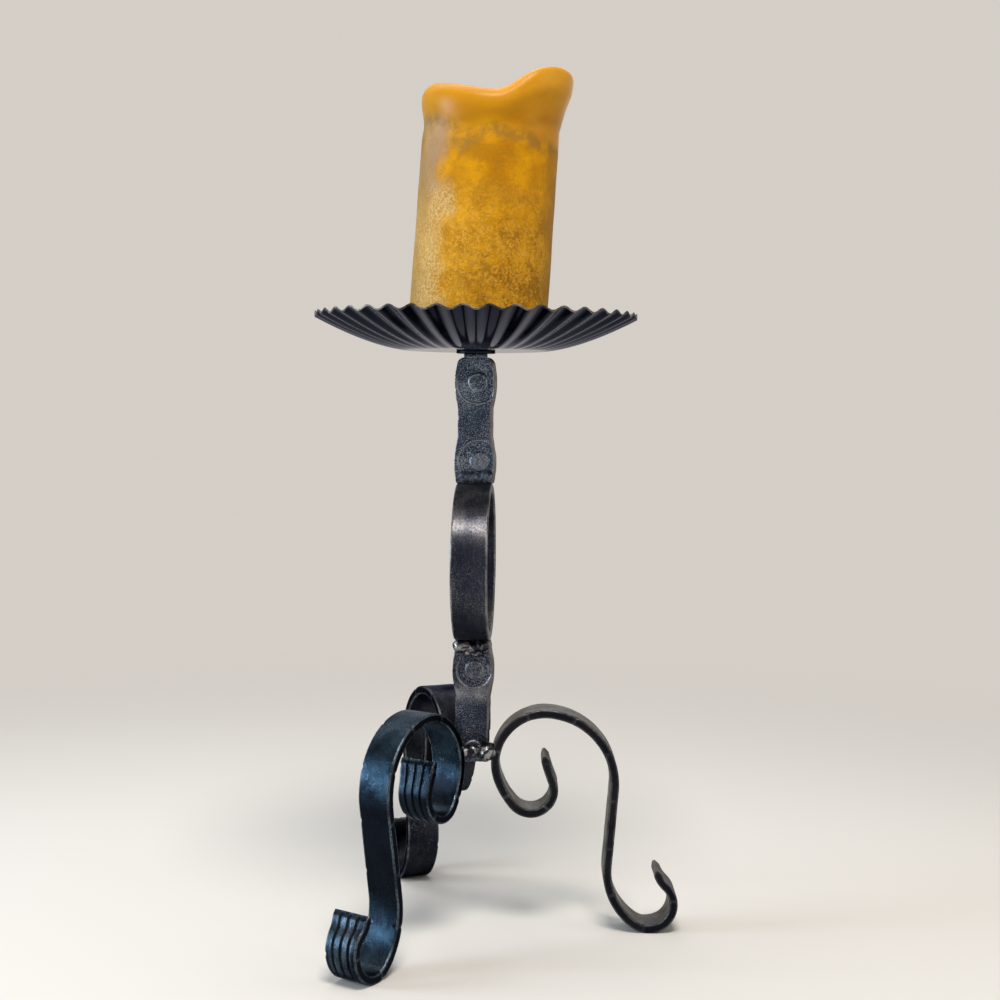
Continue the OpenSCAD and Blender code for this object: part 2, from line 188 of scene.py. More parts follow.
def next_ring(bm: BMesh, edges: list[BMEdge], place: BMLayerItem) -> tuple[list[BMVert], list[BMEdge]]:
    """Extrudes a closed loop of edges where it stands, as the next ring of a tube.

    Args:
        bm: The mesh.
        edges: The last ring's edges.
        place: The layer of places in a ring.

    Returns:
        The new ring's vertices, in order, and its edges.
    """
    grown = bmesh.ops.extrude_edge_only(bm, edges=edges)["geom"]
    ring = sorted((g for g in grown if isinstance(g, BMVert)), key=lambda vert: vert[place])
    kept = set(ring)
    around = [g for g in grown if isinstance(g, BMEdge) and all(v in kept for v in g.verts)]
    return ring, around


def round_edges(bm: BMesh, edges: list[BMEdge], size: float) -> list[BMVert]:
    """Rounds edges, and gives the rounding's vertices."""
    return bmesh.ops.bevel(
        bm, geom=edges, offset=size, segments=2, profile=0.5,
        affect="EDGES", material=-1, clamp_overlap=True,
    )["verts"]


@dataclass(frozen=True)
class Grain:
    """How a noise texture is drawn: lumps per metre, octaves, their roughness and its swirl."""

    scale: Feed
    detail: float = 2.0
    rough: float = 0.5
    warp: float = 0.0


@dataclass(frozen=True)
class Fade:
    """How a value is brought smoothly from one range, start to end, to another."""

    start: Feed
    end: Feed
    start_value: float = 0.0
    end_value: float = 1.0


@dataclass(frozen=True)
class Relief:
    """How deep a bump is: what its full height stands for, and its strength."""

    height: float
    strength: float


@dataclass(frozen=True)
class NodeKit:
    """Places shader nodes in one tree and joins them."""

    tree: bpy.types.NodeTree

    @classmethod
    def fresh(cls, owner: bpy.types.ID) -> "NodeKit":
        """Empties the tree of a new material or world.

        Args:
            owner: The material or world.
        """
        owner.use_nodes = True
        owner.node_tree.nodes.clear()
        return cls(owner.node_tree)

    def add(self, kind: str, **settings: object) -> bpy.types.Node:
        """Adds a node.

        Args:
            kind: The node's type name.
            **settings: Its properties.

        Returns:
            The node.
        """
        node = self.tree.nodes.new(kind)
        for key, value in settings.items():
            setattr(node, key, value)
        return node

    def feed(self, socket: Socket, value: Feed) -> None:
        """Sets a socket to a value, or joins it to another socket.

        Args:
            socket: The input.
            value: A number, a colour or an output socket.
        """
        if isinstance(value, Socket):
            self.tree.links.new(value, socket)
        elif isinstance(value, tuple) and len(socket.default_value) == 4:
            socket.default_value = (*value, 1.0)
        else:
            socket.default_value = value

    def feed_all(self, inputs: Inputs, **values: Feed) -> None:
        """Feeds several inputs, named with underscores for spaces."""
        for name, value in values.items():
            self.feed(inputs[name.replace("_", " ")], value)

    def coordinates(self) -> Socket:
        """Object coordinates."""
        return self.add("ShaderNodeTexCoord").outputs["Object"]

    def marked(self, layer: str) -> Socket:
        """What a piece's own attribute marks."""
        return self.add("ShaderNodeAttribute", attribute_name=layer).outputs["Fac"]

    def texture(self, grain: Grain, at: Socket | None = None) -> Socket:
        """A noise texture on Object coordinates.

        Args:
            grain: How it is drawn.
            at: Other coordinates for it.

        Returns:
            The factor, around 0.5.
        """
        node = self.add("ShaderNodeTexNoise")
        self.feed_all(
            node.inputs, Scale=grain.scale, Detail=grain.detail, Roughness=grain.rough,
            Distortion=grain.warp, Vector=at or self.coordinates(),
        )
        return node.outputs["Fac"]

    def ramp(self, value: Feed, fade: Fade) -> Socket:
        """Fades a value.

        Args:
            value: The input.
            fade: How it fades.

        Returns:
            The faded value.
        """
        node = self.add("ShaderNodeMapRange", interpolation_type="SMOOTHSTEP")
        self.feed_all(
            node.inputs, Value=value, From_Min=fade.start, From_Max=fade.end,
            To_Min=fade.start_value, To_Max=fade.end_value,
        )
        return node.outputs["Result"]

    def maths(self, operation: str, first: Feed, second: Feed = 0.0) -> Socket:
        """One sum.

        Args:
            operation: The Math node's operation.
            first: Its first input.
            second: Its second input.

        Returns:
            The result.
        """
        node = self.add("ShaderNodeMath", operation=operation)
        self.feed(node.inputs[0], first)
        self.feed(node.inputs[1], second)
        return node.outputs[0]

    def plus(self, first: Feed, second: Feed) -> Socket:
        """The sum of two values."""
        return self.maths("ADD", first, second)

    def minus(self, first: Feed, second: Feed) -> Socket:
        """The first value less the second."""
        return self.maths("SUBTRACT", first, second)

    def times(self, first: Feed, *others: Feed) -> Socket:
        """The product of two or more values."""
        for other in others:
            first = self.maths("MULTIPLY", first, other)
        return first

    def blend(self, share: Feed, first: Feed, second: Feed) -> Socket:
        """Blends two colours.

        Args:
            share: How much of the second shows.
            first: A colour or socket.
            second: A colour or socket.

        Returns:
            The colour.
        """
        node = self.add("ShaderNodeMix", data_type="RGBA")
        self.feed(node.inputs[0], share)
        self.feed(node.inputs[6], first)
        self.feed(node.inputs[7], second)
        return node.outputs[2]

    def mix_shaders(self, share: Socket, first: bpy.types.Node, second: bpy.types.Node) -> Socket:
        """Mixes the shaders of two nodes.

        Args:
            share: How much of the second shows.
            first: A shader's node.
            second: A shader's node.

        Returns:
            The mixed shader.
        """
        node = self.add("ShaderNodeMixShader")
        self.feed(node.inputs[0], share)
        self.feed(node.inputs[1], first.outputs[0])
        self.feed(node.inputs[2], second.outputs[0])
        return node.outputs[0]

    def place(self, group: bpy.types.NodeTree, **values: Feed) -> Socket:
        """Places a shared group with its inputs, and gives its output."""
        node = self.add("ShaderNodeGroup", node_tree=group)
        self.feed_all(node.inputs, **values)
        return node.outputs[0]

    def bump(self, shader: Inputs, height: Socket, relief: Relief) -> None:
        """Gives a shader a bumped normal.

        Args:
            shader: The shader's inputs.
            height: The height, from 0 to 1.
            relief: How deep the bump is.
        """
        node = self.add("ShaderNodeBump")
        self.feed_all(node.inputs, Strength=relief.strength, Distance=relief.height, Height=height)
        self.feed(shader["Normal"], node.outputs["Normal"])


class SharedGroups:
    """The shader groups that more than one finish uses, each built once."""

    speck_limit: float = 0.76
    speck_gain: float = 0.3
    fine_wear: Fade = Fade(0.34, 0.60, 0.25, 1.0)
    broad_wear: Fade = Fade(0.34, 0.62, 0.25, 1.0)
    broad_scale: float = 0.09
    wear_curve: float = 1.8
    _built: dict[str, bpy.types.NodeTree] = {}

    @classmethod
    def _group(
        cls, name: str, inputs: dict[str, float], output: str,
        fill: Callable[[NodeKit, Given], Socket],
    ) -> bpy.types.NodeTree:
        """Finds a group, or builds it.

        Args:
            name: The group's name.
            inputs: Names and default values of its inputs.
            output: The name of its output.
            fill: Gives the output's value from the tree's kit and the inputs.

        Returns:
            The group.
        """
        if name in cls._built:
            return cls._built[name]
        tree = bpy.data.node_groups.new(name, "ShaderNodeTree")
        for key, value in inputs.items():
            socket = tree.interface.new_socket(key, in_out="INPUT", socket_type="NodeSocketFloat")
            socket.default_value = value
        tree.interface.new_socket(output, in_out="OUTPUT", socket_type="NodeSocketFloat")
        kit = NodeKit(tree)
        source = kit.add("NodeGroupInput")
        end = kit.add("NodeGroupOutput")
        given = {key: source.outputs[key] for key in inputs}
        kit.feed(end.inputs[output], fill(kit, given))
        cls._built[name] = tree
        return tree

    @classmethod
    def speckle(cls) -> bpy.types.NodeTree:
        """Fine bright specks, gathered in patches: the output is their mask."""
        inputs = {"Scale": 1500.0, "Patch Scale": 70.0, "Amount": 0.5, "Spread": 0.3, "Softness": 0.14}
        return cls._group("speckle", inputs, "Mask", cls._speck_mask)

    @classmethod
    def _speck_mask(cls, kit: NodeKit, given: Given) -> Socket:
        """The specks' mask.

        Args:
            given: Its inputs.

        Returns:
            The mask.
        """
        fine = kit.texture(Grain(given["Scale"], 3.0, 0.6))
        patch = kit.texture(Grain(given["Patch Scale"]))
        level = kit.times(kit.minus(patch, 0.5), given["Spread"])
        most = kit.minus(cls.speck_limit, kit.times(given["Amount"], cls.speck_gain))
        limit = kit.minus(most, level)
        return kit.ramp(fine, Fade(limit, kit.plus(limit, given["Softness"])))

    @classmethod
    def worn_edges(cls) -> bpy.types.NodeTree:
        """Wear along the edges that a piece's own attribute marks, broken up by noise."""
        return cls._group("worn edges", {"Scale": 260.0, "Amount": 0.6}, "Mask", cls._wear_mask)

    @classmethod
    def _wear_mask(cls, kit: NodeKit, given: Given) -> Socket:
        """The wear's mask.

        Args:
            given: Its inputs.

        Returns:
            The mask.
        """
        fine = kit.ramp(kit.texture(Grain(given["Scale"], 3.0, 0.7)), cls.fine_wear)
        wider = kit.times(given["Scale"], cls.broad_scale)
        broad = kit.ramp(kit.texture(Grain(wider)), cls.broad_wear)
        edges = kit.maths("POWER", kit.marked(WEAR_AND_PAINTED_LIGHT_LAYER), cls.wear_curve)
        return kit.times(edges, kit.times(fine, broad, given["Amount"]))

    @classmethod
    def forged_skin(cls) -> bpy.types.NodeTree:
        """The height of a forged and rolled skin: fine grit on wider hammer marks."""
        inputs = {"Grit Scale": 1300.0, "Mark Scale": 210.0, "Grit": 0.5, "Marks": 0.5}
        return cls._group("forged skin", inputs, "Height", cls._skin_height)

    @staticmethod
    def _skin_height(kit: NodeKit, given: Given) -> Socket:
        """The skin's height.

        Args:
            given: Its inputs.

        Returns:
            The height.
        """
        grit = kit.texture(Grain(given["Grit Scale"], 3.0, 0.6))
        marks = kit.texture(Grain(given["Mark Scale"], 2.0, 0.4))
        return kit.plus(kit.times(grit, given["Grit"]), kit.times(marks, given["Marks"]))


@dataclass(frozen=True)
class Speckle:
    """Fine specks on a finish, gathered in patches. Cover is how much a speck hides."""

    colour: Colour = (0.17, 0.19, 0.24)
    amount: float = 0.7
    scale: float = 1150.0
    patch_scale: float = 60.0
    spread: float = 0.30
    softness: float = 0.17
    cover: float = 0.85

    def over(self, kit: NodeKit, under: Socket, *shares: Feed) -> Socket:
        """Lays the specks over a colour where the masks in shares let them show."""
        mask = kit.place(
            SharedGroups.speckle(), Scale=self.scale, Patch_Scale=self.patch_scale,
            Amount=self.amount, Spread=self.spread, Softness=self.softness,
        )
        return kit.blend(kit.times(mask, *shares, self.cover), under, self.colour)


@dataclass(frozen=True)
class ForgedSkin:
    """The bump of a forged skin: how strong and how fine its grit and its hammer marks are."""

    grit: float = 0.5
    marks: float = 0.6
    grit_scale: float = 1300.0
    mark_scale: float = 210.0
    relief: Relief = Relief(0.00045, 0.6)

    def bump(self, kit: NodeKit, shader: Inputs) -> None:
        """Bumps a shader."""
        height = kit.place(
            SharedGroups.forged_skin(), Grit_Scale=self.grit_scale, Mark_Scale=self.mark_scale,
            Grit=self.grit, Marks=self.marks,
        )
        kit.bump(shader, height, self.relief)


@dataclass(frozen=True)
class Finish:
    """A finish that makes its own material. Its subclasses say what is in it."""

    name: str

    def material(self) -> bpy.types.Material:
        """Makes the material, or finds it if a piece has it already.

        Returns:
            The material.
        """
        found = bpy.data.materials.get(self.name)
        if found:
            return found
        made = bpy.data.materials.new(self.name)
        kit = NodeKit.fresh(made)
        end = kit.add("ShaderNodeOutputMaterial")
        kit.feed(end.inputs["Surface"], self.surface(kit))
        return made

    def surface(self, kit: NodeKit) -> Socket:
        """Makes the shader.


        Returns:
            The shader's output.
        """
        shader = kit.add("ShaderNodeBsdfPrincipled")
        self.dress(kit, shader.inputs)
        return shader.outputs[0]

    def dress(self, kit: NodeKit, shader: Inputs) -> None:
        """Sets and joins the shader's inputs. A plain finish leaves them as they are."""


@dataclass(frozen=True)
class BlackenedSteel(Finish):
    """Forged bar, blackened and waxed, with fine specks, and edges rubbed through. Its side tone and its
    worn colour also paint light and shade where a piece's layers mark them.
    """

    deep: Colour = (0.010, 0.012, 0.020)
    sheen: Colour = (0.034, 0.043, 0.068)
    specks: Speckle = Speckle()
    # A painted side tone: dark as painted shade on the legs, pale as painted light on the stem bars and
    # the ring.
    side: Colour = (0.010, 0.010, 0.014)
    side_painted_light_cover: float = 0.92
    worn: Colour = (0.30, 0.30, 0.31)
    worn_amount: float = 0.6
    worn_scale: float = 850.0
    worn_rough: float = 0.15
    brushed: Colour = (0.10, 0.10, 0.12)
    brush_amount: float = 0.3
    brush_stretch: Point = (1.0, 0.12, 0.12)
    brush_grain: Grain = Grain(900.0, 3.0, 0.6)
    brush_fade: Fade = Fade(0.45, 0.70)
    tone_grain: Grain = Grain(46.0, 3.0, 0.55)
    tone_fade: Fade = Fade(0.34, 0.66)
    polish_grain: Grain = Grain(150.0, 3.0)
    polish: Fade = Fade(0.3, 0.7, 0.30, 0.44)
    edge_rough: float = 0.0
    grazing: Colour = (0.35, 0.36, 0.40)
    skin: ForgedSkin = ForgedSkin()
    metal: float = 1.0

    def dress(self, kit: NodeKit, shader: Inputs) -> None:
        """Dresses the steel.

        Args:
            shader: The shader's inputs.
        """
        tone = kit.ramp(kit.texture(self.tone_grain), self.tone_fade)
        bare = kit.blend(tone, self.deep, self.sheen)
        along = kit.add("ShaderNodeMapping")
        kit.feed_all(along.inputs, Vector=kit.coordinates(), Scale=self.brush_stretch)
        lines = kit.ramp(kit.texture(self.brush_grain, along.outputs["Vector"]), self.brush_fade)
        brushed = kit.blend(kit.times(lines, self.brush_amount), bare, self.brushed)
        speckled = self.specks.over(kit, brushed)
        # Painted light and shade: the side tone, laid where the side layer marks.
        beside = kit.times(kit.marked(PAINTED_SIDE_LIGHT_LAYER), self.side_painted_light_cover)
        with_painted_side_light = kit.blend(beside, speckled, self.side)
        # The worn colour also lays the painted light that the edge layer carries.
        wear = kit.place(SharedGroups.worn_edges(), Scale=self.worn_scale, Amount=self.worn_amount)
        kit.feed(shader["Base Color"], kit.blend(wear, with_painted_side_light, self.worn))
        polish = kit.ramp(kit.texture(self.polish_grain), self.polish)
        dull = kit.plus(polish, kit.times(kit.marked(WEAR_AND_PAINTED_LIGHT_LAYER), self.edge_rough))
        kit.feed(shader["Roughness"], kit.plus(dull, kit.times(wear, self.worn_rough)))
        self.skin.bump(kit, shader)
        kit.feed_all(shader, Metallic=self.metal, Specular_Tint=self.grazing)


@dataclass(frozen=True)
class WeldMetal(Finish):
    """Weld beads: dark, with painted shade in their hollows and a silvery painted highlight on their
    crowns.
    """

    dark: Colour = (0.030, 0.031, 0.040)
    # The bright colour is a painted highlight on the crowns.
    bright: Colour = (0.34, 0.33, 0.335)
    painted_crown_highlight: float = 0.5
    swirl: Grain = Grain(190.0, 3.0, 0.5, 1.6)
    swirl_fade: Fade = Fade(0.42, 0.56)
    specks: Speckle = Speckle((0.12, 0.14, 0.18), 0.5, 1250.0, 160.0, 0.4, 0.17, 0.8)
    polish_grain: Grain = Grain(500.0)
    polish: Fade = Fade(0.3, 0.7, 0.30, 0.44)
    grazing: Colour = (0.6, 0.6, 0.62)
    skin: ForgedSkin = ForgedSkin(0.35, 0.5, 1900.0, 520.0, Relief(0.0004, 0.6))
    metal: float = 1.0

    def dress(self, kit: NodeKit, shader: Inputs) -> None:
        """Dresses the weld.

        Args:
            shader: The shader's inputs.
        """
        # Painted highlight: the bright colour laid on the crowns that the edge layer marks.
        swirl = kit.ramp(kit.texture(self.swirl), self.swirl_fade)
        painted_crown_highlights = kit.times(swirl, kit.marked(WEAR_AND_PAINTED_LIGHT_LAYER), self.painted_crown_highlight)
        speckled = self.specks.over(kit, self.dark)
        kit.feed(shader["Base Color"], kit.blend(painted_crown_highlights, speckled, self.bright))
        kit.feed(shader["Roughness"], kit.ramp(kit.texture(self.polish_grain), self.polish))
        self.skin.bump(kit, shader)
        kit.feed_all(shader, Metallic=self.metal, Specular_Tint=self.grazing)


@dataclass(frozen=True)
class WaxMasks:
    """What the wax's colours are placed by.

    The level is the height, tilted and wandering, that the bands of colour follow.
    """

    height: Socket
    across: Socket
    wander: Socket
    level: Socket
    grain: Socket
    blotches: Socket
    rim: Socket
    below: Socket

    def wandering(self, kit: NodeKit, share: float) -> Socket:
        """The place across, moved by a share of the slow noise."""
        return kit.plus(self.across, kit.times(self.wander, share))


@dataclass(frozen=True)
class Wax(Finish):
    """Amber wax: deep and smooth round the rim, then mottled, frosted and speckled to its foot. Its
    painted light and shade: a painted reflection down its left side, painted shade under the rim and down
    the outer sides, painted light towards the lip and painted shade on the crest.
    """

    amber: Colour = (0.66, 0.300, 0.003)
    deep: Colour = (0.47, 0.192, 0.003)
    pale: Colour = (0.70, 0.370, 0.045)
    # Painted shade on the candle's crest.
    crest: Colour = (0.37, 0.158, 0.005)
    # The left band: frost, paled further as a painted reflection of the light from the left, grained with
    # rime.
    frost_and_highlight: Colour = (0.48, 0.305, 0.112)
    rime: Colour = (0.64, 0.440, 0.185)
    # A painted reflection at the top of the left band.
    painted_reflection: Colour = (0.33, 0.24, 0.165)
    umber: Colour = (0.37, 0.175, 0.010)
    # Painted shade: a brown laid under the rim's swell and down both outer sides.
    painted_shade: Colour = (0.29, 0.150, 0.026)
    # Painted light on the rim towards the lip.
    painted_lip_light: Colour = (0.70, 0.315, 0.010)
    specks: Speckle = Speckle((0.25, 0.105, 0.010), 0.9, 620.0, 100.0, 1.0, 0.20, 0.7)
    seat: float = 0.326
    lean: float = 0.0612
    wander: Grain = Grain(42.0, 3.0)
    wander_up: float = 0.045
    tilt: float = 0.12
    grain: Grain = Grain(760.0, 5.0, 0.74)
    blotches: Grain = Grain(95.0, 4.0, 0.6)
    tone_grain: Grain = Grain(60.0, 3.0)
    tone_fade: Fade = Fade(0.36, 0.64)
    pale_zone: Fade = Fade(0.425, 0.375)
    pale_grain: Fade = Fade(0.44, 0.56)
    pale_blotches: Fade = Fade(0.34, 0.56, 0.2, 0.95)
    mottle_grain: Grain = Grain(230.0, 4.0, 0.68)
    mottle_fade: Fade = Fade(0.47, 0.60, 0.0, 0.42)
    foot_zone: Fade = Fade(0.420, 0.375)
    foot_side: Fade = Fade(-0.020, 0.012, 0.25, 1.0)
    foot_wander: float = 0.05
    left_reflection_side: Fade = Fade(-0.017, -0.029)
    frost_wander: float = 0.03
    frost_grain: Fade = Fade(0.36, 0.60, 0.35, 0.95)
    rime_grain: Fade = Fade(0.42, 0.62)
    painted_reflection_zone: Fade = Fade(0.393, 0.423)
    # Where the painted shade falls: under the rim, broken into blotches, and down the outer sides.
    under_rim_shade_zone: Fade = Fade(0.429, 0.439)
    under_rim_shade_blotches: Fade = Fade(0.36, 0.58, 0.15, 1.0)
    under_rim_shade_cover: float = 0.8
    outer_shade_zone: Fade = Fade(0.026, 0.040, 0.0, 0.55)
    outer_shade_wander: float = 0.02
    rim_zone: Fade = Fade(0.440, 0.453)
    rim_cover: float = 0.8
    lip_light_zone: Fade = Fade(0.446, 0.464)
    lip_light_side: Fade = Fade(-0.034, 0.020, 0.15, 0.95)
    crest_shade_cover: float = 0.6
    polish: Fade = Fade(0.0, 1.0, 0.60, 0.42)
    coat: float = 0.20
    coat_rough: float = 0.34
    lumps: Grain = Grain(120.0)
    relief: Relief = Relief(0.0008, 0.5)
    depth_weight: float = 0.15
    depth_radius: Colour = (1.0, 0.45, 0.10)
    depth_scale: float = 0.004
    shine: float = 0.06

    def dress(self, kit: NodeKit, shader: Inputs) -> None:
        """Dresses the wax.

        Args:
            shader: The shader's inputs.
        """
        masks = self._masks(kit)
        colour = self._mottled(kit, masks)
        low = kit.ramp(masks.level, self.foot_zone)
        right = kit.ramp(masks.wandering(kit, self.foot_wander), self.foot_side)
        colour = self.specks.over(kit, colour, low, right)
        colour = self._left_frost_and_reflection(kit, masks, colour)
        colour = self._painted_shade_under_rim_and_sides(kit, masks, colour)
        colour = self._rimmed(kit, masks, colour)
        kit.feed(shader["Base Color"], colour)
        kit.feed(shader["Roughness"], kit.ramp(masks.rim, self.polish))
        kit.feed(shader["Coat Weight"], kit.times(masks.rim, self.coat))
        skin = kit.plus(kit.times(masks.grain, masks.below), kit.texture(self.lumps))
        kit.bump(shader, skin, self.relief)
        kit.feed_all(
            shader, Coat_Roughness=self.coat_rough, Subsurface_Weight=self.depth_weight,
            Subsurface_Radius=self.depth_radius, Subsurface_Scale=self.depth_scale,
            Specular_IOR_Level=self.shine,
        )

    def _masks(self, kit: NodeKit) -> WaxMasks:
        """Draws what the colours are placed by.


        Returns:
            The masks.
        """
        split = kit.add("ShaderNodeSeparateXYZ")
        kit.feed(split.inputs[0], kit.coordinates())
        height = split.outputs["Z"]
        shift = kit.times(kit.minus(height, self.seat), self.lean)
        across = kit.minus(split.outputs["X"], shift)
        wander = kit.minus(kit.texture(self.wander), 0.5)
        drawn = kit.plus(height, kit.times(wander, self.wander_up))
        level = kit.plus(drawn, kit.times(across, self.tilt))
        rim = kit.ramp(level, self.rim_zone)
        grain, blotches = kit.texture(self.grain), kit.texture(self.blotches)
        below = kit.minus(1.0, rim)
        return WaxMasks(height, across, wander, level, grain, blotches, rim, below)

    def _mottled(self, kit: NodeKit, masks: WaxMasks) -> Socket:
        """The amber body, paler and grained towards its foot.

        Args:
            masks: The masks.

        Returns:
            The colour.
        """
        tone = kit.ramp(kit.texture(self.tone_grain), self.tone_fade)
        paleness = kit.times(
            kit.ramp(masks.level, self.pale_zone), kit.ramp(masks.grain, self.pale_grain),
            kit.ramp(masks.blotches, self.pale_blotches),
        )
        paled = kit.blend(paleness, kit.blend(tone, self.amber, self.deep), self.pale)
        mottle = kit.ramp(kit.texture(self.mottle_grain), self.mottle_fade)
        return kit.blend(kit.times(mottle, masks.below), paled, self.umber)

    def _left_frost_and_reflection(self, kit: NodeKit, masks: WaxMasks, under: Socket) -> Socket:
        """Frost on the left side, paled as a painted reflection, with a painted reflection above it.

        Args:
            masks: The masks.
            under: The colour below it.

        Returns:
            The colour.
        """
        left = kit.ramp(masks.wandering(kit, self.frost_wander), self.left_reflection_side)
        share = kit.times(left, masks.below, kit.ramp(masks.grain, self.frost_grain))
        rimed = kit.blend(kit.ramp(masks.grain, self.rime_grain), self.frost_and_highlight, self.rime)
        # Painted reflection at the band's top.
        with_painted_reflection = kit.blend(kit.ramp(masks.level, self.painted_reflection_zone), rimed, self.painted_reflection)
        return kit.blend(share, under, with_painted_reflection)

    def _painted_shade_under_rim_and_sides(self, kit: NodeKit, masks: WaxMasks, under: Socket) -> Socket:
        """Painted shade right under the rim and down both outer sides.

        Args:
            masks: The masks.
            under: The colour below them.

        Returns:
            The colour.
        """
        under_rim_shade = kit.times(
            kit.ramp(masks.level, self.under_rim_shade_zone), masks.below,
            kit.ramp(masks.blotches, self.under_rim_shade_blotches), self.under_rim_shade_cover,
        )
        shaded_under_rim = kit.blend(under_rim_shade, under, self.painted_shade)
        # Painted shade down both outer sides, darker away from the middle.
        off_middle = kit.maths("ABSOLUTE", masks.across)
        wandered = kit.plus(off_middle, kit.times(masks.wander, self.outer_shade_wander))
        shaded_sides = kit.times(kit.ramp(wandered, self.outer_shade_zone), masks.below)
        return kit.blend(shaded_sides, shaded_under_rim, self.painted_shade)

    def _rimmed(self, kit: NodeKit, masks: WaxMasks, under: Socket) -> Socket:
        """The deep rim, with painted light towards the lip, and its crest with painted shade.

        Args:
            masks: The masks.
            under: The colour below it.

        Returns:
            The colour.
        """
        # Painted light on the rim towards the lip.
        towards_lip = kit.ramp(masks.across, self.lip_light_side)
        painted_lip_light_share = kit.times(kit.ramp(masks.height, self.lip_light_zone), towards_lip)
        rim_colour = kit.blend(painted_lip_light_share, self.deep, self.painted_lip_light)
        rimmed = kit.blend(kit.times(masks.rim, self.rim_cover), under, rim_colour)
        # Painted shade on the crest that the edge layer marks.
        painted_crest_shade = kit.times(kit.marked(WEAR_AND_PAINTED_LIGHT_LAYER), self.crest_shade_cover)
        return kit.blend(painted_crest_shade, rimmed, self.crest)


@dataclass(frozen=True)
class CharredCotton(Finish):
    """A braided wick: waxed at its foot and charred at its tip."""

    waxed: Colour = (0.30, 0.16, 0.03)
    charred: Colour = (0.012, 0.011, 0.010)
    burnt_zone: Fade = Fade(0.441, 0.445)
    fibre: Grain = Grain(2600.0, 3.0)
    polish: Fade = Fade(0.3, 0.7, 0.7, 0.95)
    relief: Relief = Relief(0.0003, 0.6)

    def dress(self, kit: NodeKit, shader: Inputs) -> None:
        """Dresses the wick.

        Args:
            shader: The shader's inputs.
        """
        split = kit.add("ShaderNodeSeparateXYZ")
        kit.feed(split.inputs[0], kit.coordinates())
        burnt = kit.ramp(split.outputs["Z"], self.burnt_zone)
        fibre = kit.texture(self.fibre)
        kit.feed(shader["Base Color"], kit.blend(burnt, self.waxed, self.charred))
        kit.feed(shader["Roughness"], kit.ramp(fibre, self.polish))
        kit.bump(shader, fibre, self.relief)


@dataclass
class Piece:
    """A visible piece: its mesh goes in as a bmesh in millimetres, and it replaces CAD nodes.

    Its edges stay sharp from the angle sharp, in degrees.
    """

    name: str
    body: Body
    slot: Slot
    finish: Finish
    replaced: tuple[str, ...]
    sharp: float = 38.0

    def place(self, bm: BMesh) -> None:
        """Turns the bmesh into an object that rides on its body.

        Args:
            bm: The mesh in millimetres. It is freed.
        """
        bmesh.ops.scale(bm, vec=(MM, MM, MM), verts=bm.verts)
        bmesh.ops.recalc_face_normals(bm, faces=bm.faces)
        mesh = bpy.data.meshes.new(self.name)
        bm.to_mesh(mesh)
        bm.free()
        mesh.shade_smooth()
        mesh.set_sharp_from_angle(angle=math.radians(self.sharp))
        mesh.materials.append(self.finish.material())
        made = new_object(self.name, mesh)
        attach(made, self.body.value)
        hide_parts(*self.replaced)
        LOG.info("%s: %d faces", self.name, len(mesh.polygons))


@dataclass(frozen=True)
class Bend:
    """A bend of a path, or a straight where turn is 0 and radius is its length."""

    radius: float
    turn: float

    def back(self) -> "Bend":
        """The same bend, walked the other way."""
        return Bend(self.radius, -self.turn)


@dataclass(frozen=True)
class Mark:
    """A place on a path: its point (outward, up), its heading in degrees, and the length to it."""

    u: float
    v: float
    heading: float
    along: float

    def side(self) -> tuple[float, float]:
        """The direction to the left of the heading."""
        angle = math.radians(self.heading)
        return -math.sin(angle), math.cos(angle)

    def step(self, bend: Bend, share: float = 1.0) -> "Mark":
        """The mark after a bend, or after a share of it.

        Args:
            bend: The bend.
            share: How much of it is walked.

        Returns:
            The new mark.
        """
        if bend.turn == 0:
            angle = math.radians(self.heading)
            length = bend.radius * share
            return Mark(
                self.u + length * math.cos(angle), self.v + length * math.sin(angle),
                self.heading, self.along + length,
            )
        left = self.side()
        hand = math.copysign(bend.radius, bend.turn)
        turned = Mark(0, 0, self.heading + bend.turn * share, 0)
        over = turned.side()
        return Mark(
            self.u + hand * (left[0] - over[0]), self.v + hand * (left[1] - over[1]),
            turned.heading, self.along + bend.radius * math.radians(abs(bend.turn)) * share,
        )

    def centre(self, bend: Bend) -> Vector:
        """The centre of a bend that starts here, as a point of the XZ plane."""
        left = self.side()
        hand = math.copysign(bend.radius, bend.turn)
        return Vector((self.u + hand * left[0], 0, self.v + hand * left[1]))


@dataclass(frozen=True)
class SectionPoint:
    """A point of a bar's section: off the mid-plane, across the bar, and how it is marked.

    Groove and lip give the face that it is a groove's floor or lip on, or 0.
    """

    off: float
    across: float
    edge: float = 0.0
    side: float = 0.0
    groove: int = 0
    lip: int = 0


